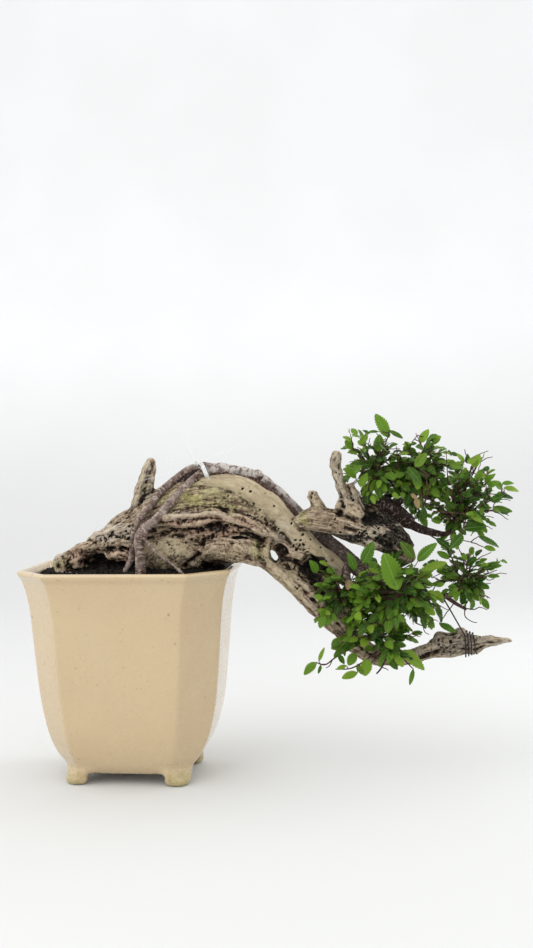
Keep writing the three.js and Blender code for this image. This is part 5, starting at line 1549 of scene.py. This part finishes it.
# Twigs drawn one by one, where they stand free: first and last radius, and their points
freeTwigs = {
    "bottom": [
        (0.75, 0.4, [(166, -14, 97), (155.5, -16, 93), (145, -16, 86.5), (138, -16, 81.5), (132, -16, 83)]),
        (0.4, 0.25, [(139, -16, 82), (135, -16, 82), (133.7, -16, 84)]),
        (0.35, 0.22, [(137, -16, 82), (135, -16, 81.5)]),
        (0.4, 0.25, [(143, -16, 85), (141, -16.5, 81), (138.5, -17, 79.5)]),
        (0.35, 0.22, [(148, -16, 88.5), (147, -16, 88)]),
        (0.65, 0.4, [(173, -15, 90), (163, -16, 83), (155, -16, 79), (145, -16, 78.5)]),
        (0.4, 0.25, [(162, -16, 82), (160, -16, 79), (160, -16, 76)]),
        (0.35, 0.25, [(163, -15.5, 92), (159, -16, 90)]),
        (0.8, 0.55, [(181, -14, 90), (179, -16, 84.5), (176, -16, 79), (173, -16, 75.5)]),
        (0.4, 0.25, [(177, -16, 80), (180, -16.5, 79), (181, -17, 78)]),
        (0.7, 0.4, [(183, -14, 92), (191, -15, 86), (198, -16, 79)]),
        (0.35, 0.25, [(194, -15.5, 83), (199, -16, 82)]),
    ],
    "crown_right": [
        (0.5, 0.25, [(236, -4, 206), (240, -3, 216), (240, -3, 222), (251, -3, 226.7)]),
        (0.45, 0.25, [(240, -3, 219), (236, -4, 224), (235, -3, 228)]),
        (0.4, 0.22, [(243, -3, 223), (247, -3, 222), (248, -4, 225)]),
        (0.5, 0.28, [(240, -2, 196), (252, -2, 197), (262, -3, 196.5)]),
        (0.4, 0.24, [(250, -2, 197), (254, -2, 193), (260, -2, 191)]),
        (0.6, 0.25, [(213, -16, 186.5), (224, -22, 186), (236, -22, 185)]),
        (0.4, 0.22, [(224, -22, 186), (229, -23, 182), (234, -23, 181)]),
        (0.45, 0.22, [(223.4, -8, 204), (222.6, -12, 216), (222.2, -12, 228)]),
        (0.6, 0.3, [(207, 9.6, 171), (213, 3, 167.4), (219, -2, 165), (227, -8, 166.8), (238, -10, 165)]),
    ],
    "lower_right": [
        (0.5, 0.25, [(236, -4, 136), (246, -3, 140), (250, -3, 138), (254, -3, 139)]),
        (0.5, 0.25, [(244, -3, 140), (251, -3, 143), (256, -3, 145)]),
        (1.8, 1.0, [(221, -3, 127), (228, -4, 122), (235, -4, 118)]),
        (0.5, 0.25, [(233, -4, 119), (240, -4, 118), (244, -4, 119.5), (249, -4, 117.6)]),
        (0.45, 0.25, [(234, -4, 119), (234, -4, 113), (239, -4, 109.4), (242, -4, 109)]),
    ],
    "front": [
        (0.45, 0.25, [(200, -24, 112), (206, -24, 110), (212, -24, 114), (215, -24, 113)]),
        (0.4, 0.22, [(205, -24, 110), (206, -24, 106), (209, -24, 104)]),
    ],
    "crown_top": [
        (0.5, 0.3, [(196, -6, 214), (199, -8, 222), (198, -8, 231), (203, -8, 238)]),
        (0.65, 0.3, [(206, -16, 190), (209.5, -22, 200), (208.5, -24, 208.5), (213.5, -22, 215.5)]),
        (0.4, 0.22, [(209, -22, 204), (213, -24, 208), (216, -24, 213)]),
        (0.55, 0.25, [(188.7, -8, 214), (189.3, -12, 224), (188.5, -12, 231)]),
    ],
    "crown_left": [
        (0.6, 0.3, [(175, -4, 219), (179, -5, 228), (182.4, -5, 236), (184, -6, 242)]),
        (0.5, 0.3, [(168, -6, 212), (163, -8, 214), (157, -9, 212), (152, -9, 213)]),
    ],
}

# Dry, pale leaves: base, tip and width
dryLeaves = {
    "crown_top": [
        ((201, -20, 196), (203, -22, 189), 4.5), ((198, -21, 199), (202, -22, 195), 3.5),
    ],
    "lower_left": [
        ((157, -27, 141), (154, -30, 136), 5.5),
    ],
}


# Cross-sections of a flat leaf of length and width 1: along, across, lift and the underside's share, for
# each row and each point round the section; the edge runs through tooth and notch in turn
def leafSections(rows, columns):
    u = (np.arange(rows) + 0.7) / (rows + 0.4)
    tooth = np.arange(rows) % 2
    half = 0.5 * np.sin(math.pi * u**0.84) ** 0.62 * (1 - 0.12 * u**5)
    half = half * np.where(tooth, 1.06, 0.84)
    over = np.linspace(-1, 1, 2 * columns + 1)
    side = np.concatenate([over, over[-2:0:-1]])
    under = np.concatenate([np.zeros(2 * columns + 1), np.ones(2 * columns - 1)])
    along = u[:, None] + 0.05 * tooth[:, None] * np.abs(side) ** 3 * (1 - u[:, None])
    lift = (1 - np.abs(side)) ** 0.6 * np.where(under > 0, -1, 1) + 0 * along
    return along, half[:, None] * side, lift, under + 0 * along


# Leaves at their roots (all arrays with a row for each leaf): the blade's halves rise from the rib, the tip
# droops, and each leaf bends, twists and waves a little its own way; gives the skins and their numbers
def leaves(root, direction, facing, length, width, own, rows, columns):
    along = unit(direction)
    across = unit(np.cross(facing, along))
    normal = np.cross(along, across)
    u, v, lift, under = (a[None] for a in leafSections(rows, columns))
    u = np.concatenate([u.reshape(1, -1), [[0, 1]]], 1)
    v, lift, under = (np.concatenate([a.reshape(1, -1), [[0, 0]]], 1) for a in (v, lift, under))
    length, width, own = length[:, None], width[:, None], own[:, None]
    fold = leafLook["fold"] * (0.5 + draw(1, own, 1))
    droop = leafLook["droop"] * (0.2 + 1.9 * draw(1, own, 2) ** 2)
    rise = np.abs(v) * fold * width - u**2 * droop * length
    rise = rise + v * (u - 0.3) * width * (draw(1, own, 3) - 0.5) * 0.9
    rise = rise + np.abs(v) * width * 0.1 * np.sin(u * 9 + own) + lift * leafLook["thickness"]
    bend = u**2 * length * (draw(1, own, 4) - 0.5) * 0.22
    points = root[:, None] + along[:, None] * (u * length)[..., None]
    points = points + across[:, None] * (v * width + bend)[..., None] + normal[:, None] * rise[..., None]
    sides, count = 4 * columns, len(root)
    skins = manySkins(points[:, :-2].reshape(count, rows, sides, 3), points[:, -2:])
    uv = np.stack([u + 0 * v, v + 0.5], -1)
    side = np.arange(sides)
    line = (side % (2 * columns) == 0) | (side % (2 * columns) == columns)
    line = np.concatenate([np.tile(line, rows), [False, False]])
    return skins, {"uv": np.repeat(uv, count, 0).reshape(-1, 2), "under": np.repeat(under, count, 0).ravel(),
                   "line": np.tile(line, count) * sides}


# A bow through three points at shares t of the way, and the way it runs there
def bow(start, middle, end, t):
    t = np.asarray(t, float)[..., None]
    place = (1 - t) ** 2 * start + 2 * t * (1 - t) * middle + t**2 * end
    return place, unit(2 * (1 - t) * (middle - start) + 2 * t * (end - middle))


# Room between each point and the wood: the least distance from a limb's middle line, less its radius
def roomAroundWood(points):
    room = np.full(len(points), 1e9)
    for limb in (*deadLimbs.values(), *liveLimbs.values()):
        held = limbFrame(limb, 2)
        gap = np.linalg.norm(points[:, None] - held["centre"][None], axis=2) - held["radii"].mean(1)[None]
        room = np.minimum(room, gap.min(1))
    return room


upward = np.array([0.0, 0.0, 1.0])


# The shoots of a spray: fork on the limb, middle of the bow and tip, first for those that the CAD part has
# too and then for the further ones, which fill their regions more evenly
def shootPlan(plan, limb):
    seed = plan["seed"]
    tips, forks = [], []
    regions = [(plan["heart"], plan["reach"], plan["shoots"], 0.82, 1.04)]
    regions += [(*region, 0.45, 1.05) for region in plan["more"]]
    for place, (heart, reach, count, low, high) in enumerate(regions):
        i = np.arange(count)
        item = i + place * 50
        level = 1 - 2 * (i + 0.5) / count
        turn = i * goldenAngle + seed + place * 1.9
        flat = np.sqrt(1 - level**2)
        spread = low + (high - low) * draw(seed, item, 1)
        way = np.stack([flat * np.cos(turn), flat * np.sin(turn), level], 1)
        tips.append(np.array(heart) + np.array(reach) * way * spread[:, None])
        forks.append(bow(*limb, 0.3 + 0.66 * (i + draw(seed, item, 2)) / count)[0])
    tips, forks = np.concatenate(tips), np.concatenate(forks)
    far = np.linalg.norm(tips - forks, axis=1)[:, None]
    return forks, (tips + forks) / 2 + upward * far * 0.16, tips


# Twigs as tubes: each bow sampled and set a little aside at every other step, thinner to the tip
def twigTubes(bows, radii, steps, own, zigzag):
    t = np.linspace(0, 1, steps)
    path, along = bow(*(points[:, None] for points in bows), t[None])
    swing = np.where(np.arange(steps) % 2, 1, -1) * zigzag * np.minimum(1, 3 * t)
    path = path + unit(np.cross(along, upward)) * swing[None, :, None]
    path = path + upward * (zigzag * np.sin(t * 11 + own[:, None]))[..., None]
    first, last = radii
    return tubes(path, np.broadcast_to(first + (last - first) * t, path.shape[:2]), 5)


# The drawn twigs and leaves of a spray; each leaf stands on a stalk from the nearest drawn twig or the limb
def leadingParts(name, plan, limb, wood, blades):
    look = leafLook
    lines = []
    for first, last, rows in freeTwigs.get(name, []):
        lines.append(smoothLine(rows, 14))
        wood.append(tubes(lines[-1], np.linspace(first, last, 15)[None], 5))
    dry = dryLeaves.get(name, [])
    own = leadingLeaves.get(name, []) + dry
    if not own:
        return
    roots, tips = (np.array([leaf[i] for leaf in own], float) for i in (0, 1))
    number = np.arange(len(own))
    held = np.concatenate([bow(*limb, np.linspace(0.3, 1, 15))[0], *(line[0] for line in lines)])
    forks = held[np.linalg.norm(held[None] - roots[:, None], axis=2).argmin(1)]
    bows = forks, (forks + roots) / 2 + upward * 0.6, roots
    wood.append(twigTubes(bows, look["stalkRadii"], 7, number + plan["seed"], 0.15))
    facing = np.tile([0.2, -1.0, 0.7], (len(own), 1))
    lengths = np.linalg.norm(tips - roots, axis=1)
    widths = np.array([leaf[2] for leaf in own], float)
    isDry = number >= len(own) - len(dry)
    blades.append((roots, tips - roots, facing, lengths, widths, number + plan["seed"] * 3,
                   *look["leadingBlade"], isDry))


# A spray: its limb, drawn twigs and leaves, then shoots with their leaves, and side twigs with theirs
def sprayMesh(name, plan):
    seed, look = plan["seed"], leafLook
    heart, aim = np.array(plan["heart"], float), unit(np.array(plan["aim"], float))
    start = np.array(plan["base"], float) - aim * 1.5
    limb = (start, start + aim * (np.linalg.norm(heart - start) * 0.45), heart)
    wood = [twigTubes([p[None] for p in limb], look["limbRadii"], 9, np.array([seed]), 0.25)]
    blades = []
    leadingParts(name, plan, limb, wood, blades)

    forks, middles, tips = shootPlan(plan, limb)
    number = np.arange(len(tips))
    wood.append(twigTubes((forks, middles, tips), look["shootRadii"], 9, number + seed, 0.28))

    # leaves of the shoots, in the same places as in the CAD part for its own shoots
    each = look["perShoot"]
    j = np.tile(np.arange(each), len(tips))
    i = np.repeat(number, each)
    item = i * 20 + j
    last = j == each - 1
    t = np.where(last, 0.985, 0.3 + 0.62 * (j + draw(seed, item, 3) * 0.6) / (each - 1))
    addLeaves(blades, plan, (forks[i], middles[i], tips[i]), t, item, j % 2, last, 1.0)

    # side twigs, each with its own leaves unless it is bare
    each = look["sideTwigs"]
    k = np.tile(np.arange(each), len(tips))
    i = np.repeat(number, each)
    item = 1000 + i * 20 + k
    place, along = bow(forks[i], middles[i], tips[i], 0.3 + 0.68 * (k + draw(seed, item, 8)) / each)
    side = unit(np.cross(along, upward)) * np.where(k % 2, -1, 1)[:, None]
    way = along * 0.5 + side * 0.8 + upward * (draw(seed, item, 9) - 0.4)[:, None] * 1.3
    way = unit(way + 0.35 * unit(place - heart))
    bare = draw(seed, item, 11) < plan["bare"]
    far = plan["leaf"] * (0.6 + 0.9 * draw(seed, item, 10)) * np.where(bare, 1.2, 1)
    end = place + way * far[:, None]
    keep = roomAroundWood(end) > 2.5
    place, end, item, bare, far = (values[keep] for values in (place, end, item, bare, far))
    middle = (place + end) / 2 + upward * (far * 0.12)[:, None]
    wood.append(twigTubes((place, middle, end), look["sideRadii"], 7, item, 0.25))
    place, middle, end, item = (values[~bare] for values in (place, middle, end, item))
    each = look["perTwig"]
    j = np.tile(np.arange(each), len(item))
    i = np.repeat(np.arange(len(item)), each)
    last = j == each - 1
    t = np.where(last, 0.98, 0.3 + 0.34 * j + 0.1 * draw(seed, item[i] + j, 12))
    bows = place[i], middle[i], end[i]
    addLeaves(blades, plan, bows, t, item[i] * 7 + j, j % 2, last, look["twigLeaf"])
    return leafyMesh(name, plan, wood, blades)


# Leaves along bows: turned to one side and the other in turn, their faces to the front, up and outward
def addLeaves(blades, plan, bows, t, item, odd, last, size):
    seed, heart = plan["seed"], np.array(plan["heart"], float)
    place, along = bow(*bows, t)
    side = unit(np.cross(along, upward)) * np.where(odd, -1, 1)[:, None]
    way = along + side * np.where(last, 0.15, 0.95)[:, None]
    way[:, 2] += 0.5 * (draw(seed, item, 4) - 0.6)
    facing = np.array([0, 0.7 * plan["face"], 0.55]) + 0.5 * unit(place - heart)
    facing[:, 0] += 1.0 * (draw(seed, item, 5) - 0.5)
    facing[:, 2] += 0.8 * (draw(seed, item, 6) - 0.5)
    length = plan["leaf"] * (0.72 + 0.5 * draw(seed, item, 7)) * size
    width = length * leafLook["width"] * (0.85 + 0.3 * draw(seed, item, 13))
    middle = place + unit(way) * (length * 0.6)[:, None]
    thin = (middle[:, 2] > plan.get("bareAbove", 1000)) & (draw(seed, item, 14) > 0.25)
    keep = (roomAroundWood(middle) > 1.2) & ~thin & (middle[:, 0] > plan.get("leftEdge", -1000))
    kept = (values[keep] for values in (place, way, facing, length, width, item + seed))
    blades.append((*kept, *leafLook["blade"], np.zeros(keep.sum(), bool)))


# Blades and wood in one mesh, each with its material: the blades carry numbers for underside, tone, age and
# depth in the spray (for painted shade), a UV map, and sharp edges along rib and rim
def leafyMesh(name, plan, wood, blades):
    heart, reach = np.array(plan["heart"], float), np.array(plan["reach"], float)
    parts, values = [], {"under": [], "tone": [], "age": [], "inner": [], "uv": [], "line": []}
    for root, way, facing, length, width, own, rows, columns, dry in blades:
        skins, numbers = leaves(root, way, facing, length, width, own, rows, columns)
        out = np.sqrt((((root - heart) / reach) ** 2).sum(1))
        young = smoothStep(1 - plan["young"], 1, draw(2, own, 1)) * smoothStep(0.3, 0.9, out)
        young = np.where(dry, -1, young)
        # inner: how deep a leaf lies in its spray, for painted shade
        for key, value in (("tone", draw(2, own, 2)), ("age", young), ("inner", smoothStep(0.95, 0.25, out))):
            numbers[key] = np.repeat(value, rows * 4 * columns + 2)
        parts.append(skins)
        for key, value in numbers.items():
            values[key].append(value)
    leafPoints = sum(len(part[0]) for part in parts)
    leafFaces = sum(len(group) for part in parts for group in part[1])
    points, faces = stack(parts + wood)
    mesh = newMesh(f"{name}_foliage", points, faces)
    for key, rows in values.items():
        values[key] = np.concatenate([*rows, np.zeros((len(points) - leafPoints, *rows[0].shape[1:]))])
    for key in ("under", "tone", "age", "inner"):
        keepNumber(mesh, key, values[key])
    corner = np.zeros(len(mesh.loops), np.int32)
    mesh.loops.foreach_get("vertex_index", corner)
    mesh.uv_layers.new(name="blade").data.foreach_set("uv", values["uv"][corner].astype(np.float32).ravel())
    ends = np.zeros(len(mesh.edges) * 2, np.int32)
    mesh.edges.foreach_get("vertices", ends)
    a, b = ends.reshape(-1, 2).T
    step = values["line"]
    sharp = (step[a] > 0) & (np.abs(b - a) == step[a])
    mesh.attributes.new("sharp_edge", "BOOLEAN", "EDGE").data.foreach_set("value", sharp)
    kinds = np.zeros(len(mesh.polygons), np.int32)
    kinds[leafFaces:] = 1
    mesh.polygons.foreach_set("material_index", kinds)
    return mesh


# A rib and slanting side veins drawn by the distance from the middle of the blade's UV map
def leafMaterial():
    look = leafLook
    s = Shader("leaf", 0.16)
    split = s.add("ShaderNodeSeparateXYZ", {0: s.add("ShaderNodeUVMap", uv_map="blade").outputs[0]})
    u, v = split.outputs[0], split.outputs[1]
    aside = s.math("ABSOLUTE", s.math("SUBTRACT", v, 0.5))
    lateral = s.math("FRACT", s.times(s.total((u, 1), (aside, -0.55)), 9.0))
    lateral = s.math("ABSOLUTE", s.math("SUBTRACT", lateral, 0.5))
    veins = s.times(s.between(lateral, 0.12, 0.02), 0.45)
    drawn = s.math("MAXIMUM", veins, s.between(aside, 0.035, 0.012))
    mottle = s.noise(300, 4, 0.6)
    tone, age = s.number("tone"), s.number("age")
    colour = s.coats(look["green"], look, (tone, 0.1, 1.0, 1, "dark"), (tone, 0.5, 0.0, 0.3, "young"))
    # Young leaves are yellower; leaves deep in the spray are darkened as painted shade
    colour = s.films(colour, look, (age, 0.8, "young"), (s.number("inner"), 0.8, "dark"))
    colour = s.coats(colour, look, (mottle, 0.5, 0.8, 0.25, "young"))
    colour = s.films(colour, look, (drawn, 0.4, "vein"))
    colour = s.coats(colour, look, (s.number("under"), 0.0, 0.06, 0.6, "under"),
                     (age, -0.2, -0.8, 0.95, "dry"))
    height = s.total((drawn, -0.6), (mottle, 0.5), (lateral, 1))
    return s.done(colour=colour, roughness=s.between(mottle, 0.3, 0.7, (0.38, 0.55)),
                  normal=s.bump(height, 0.4, 0.0003), scatter=0.12)


def twigMaterial():
    look = leafLook
    s = Shader("twig", 0.25)
    colour = s.coats(look["twig"], look, (s.noise(240, 4), 0.4, 0.65, 1, "twigShade"),
                     (s.noise(700, 2), 0.6, 0.7, 0.6, "twigPale"))
    return s.done(colour=colour, roughness=0.6, normal=s.bump(s.noise(900, 3), 0.4, 0.0003))


leafShade, twigShade = leafMaterial(), twigMaterial()
leafSockets = leafShade.node_tree.nodes["Principled BSDF"].inputs
leafSockets["Subsurface Scale"].default_value = 0.002
leafSockets["Subsurface Radius"].default_value = (0.5, 1.0, 0.2)
for name, plan in sprays.items():
    mesh = sprayMesh(name, plan)
    mesh.materials.append(leafShade)
    mesh.materials.append(twigShade)
    finish(newObject(f"{name}_foliage", mesh), None, [f"spray_{name}"])

# The screen keeps its CAD form and takes a material

screenLook = {"base": seen(58, 68, 62), "worn": seen(92, 100, 92)}
s = Shader("screen mesh")
colour = s.mix(s.between(s.noise(220, 4), 0.4, 0.7), screenLook["base"], screenLook["worn"])
screen = s.done(colour=colour, roughness=0.6, normal=s.bump(s.noise(500, 3), 0.3, 0.0004))
screenNode = bpy.data.objects["drain_screen"]
screenNode.data.materials.clear()
screenNode.data.materials.append(screen)

# Floor, light and camera

studio = {
    "floor": seen(213, 214, 213),
    "wall": seen(239, 240, 241),
    "ambient": 1.12,
    "key": 8.2,
    "side": 2.8,
    "keyPlace": (-700, -650, 1000),
    "sidePlace": (850, 300, 600),
    "lens": 42.9,
    "cameraPlace": (193, -787, 240.5),
    "cameraRight": (0.99267, 0.11949, -0.01814),
    "cameraUp": (0.01383, 0.03682, 0.99923),
    "cameraForward": (-0.12006, 0.99215, -0.03490),
    "front": -2500,  # where the floor begins
    "bend": 900,  # radius of the curve, and where it starts
    "top": 3500,
    "halfWidth": 3500,
}


# A floor that turns up into the wall behind in one wide curve: flat, a quarter circle, then upright
def sweepMesh():
    s = studio
    turn = np.linspace(0, math.pi / 2, 24)
    y = np.concatenate([[s["front"]], s["bend"] * (1 + np.sin(turn)), [2 * s["bend"]]])[:, None]
    z = np.concatenate([[0], s["bend"] * (1 - np.cos(turn)), [s["top"]]])[:, None]
    x = np.linspace(-s["halfWidth"], s["halfWidth"], 9)[None]
    points = np.stack([x + 0 * y, y + 0 * x, z + 0 * x], -1)
    rows, columns = points.shape[:2]
    first = np.arange(rows - 1)[:, None] * columns + np.arange(columns - 1)[None]
    faces = np.stack([first, first + 1, first + 1 + columns, first + columns], -1).reshape(-1, 4)
    return newMesh("floor", points.reshape(-1, 3), faces.tolist())


floor = newObject("floor", sweepMesh())
s = Shader("paper floor")
height = s.add("ShaderNodeSeparateXYZ", {0: s.place}).outputs["Z"]
paper = s.mix(s.between(height, 0.02, 0.5), studio["floor"], studio["wall"])
faint = s.mix(s.between(s.noise(3, 2), 0.3, 0.7, (0, 0.15)), paper, studio["floor"])
floor.data.materials.append(s.done(colour=faint, roughness=0.9))

world = bpy.data.worlds.new("studio")
world.use_nodes = True
world.node_tree.nodes["Background"].inputs["Color"].default_value = (1, 1, 1, 1)
world.node_tree.nodes["Background"].inputs["Strength"].default_value = studio["ambient"]
bpy.context.scene.world = world


def areaLight(name, place, aim, size, energy):
    lamp = bpy.data.lights.new(name, "AREA")
    lamp.energy, lamp.size = energy, size
    obj = newObject(name, lamp)
    obj.location = toScene(place)
    obj.rotation_euler = (Vector(toScene(aim)) - obj.location).to_track_quat("-Z", "Y").to_euler()


areaLight("key", studio["keyPlace"], (80, 0, 120), 1.5, studio["key"])
areaLight("side", studio["sidePlace"], (80, 0, 100), 0.5, studio["side"])

camera = bpy.data.cameras.new("camera")
camera.lens = studio["lens"]
camera.clip_start = 0.01
view = newObject("camera", camera)
axes = studio["cameraRight"], studio["cameraUp"], -Vector(studio["cameraForward"])
view.matrix_world = Matrix(axes).transposed().to_4x4()
view.location = toScene(studio["cameraPlace"])
bpy.context.scene.camera = view
bpy.context.scene.view_settings.view_transform = "Standard"
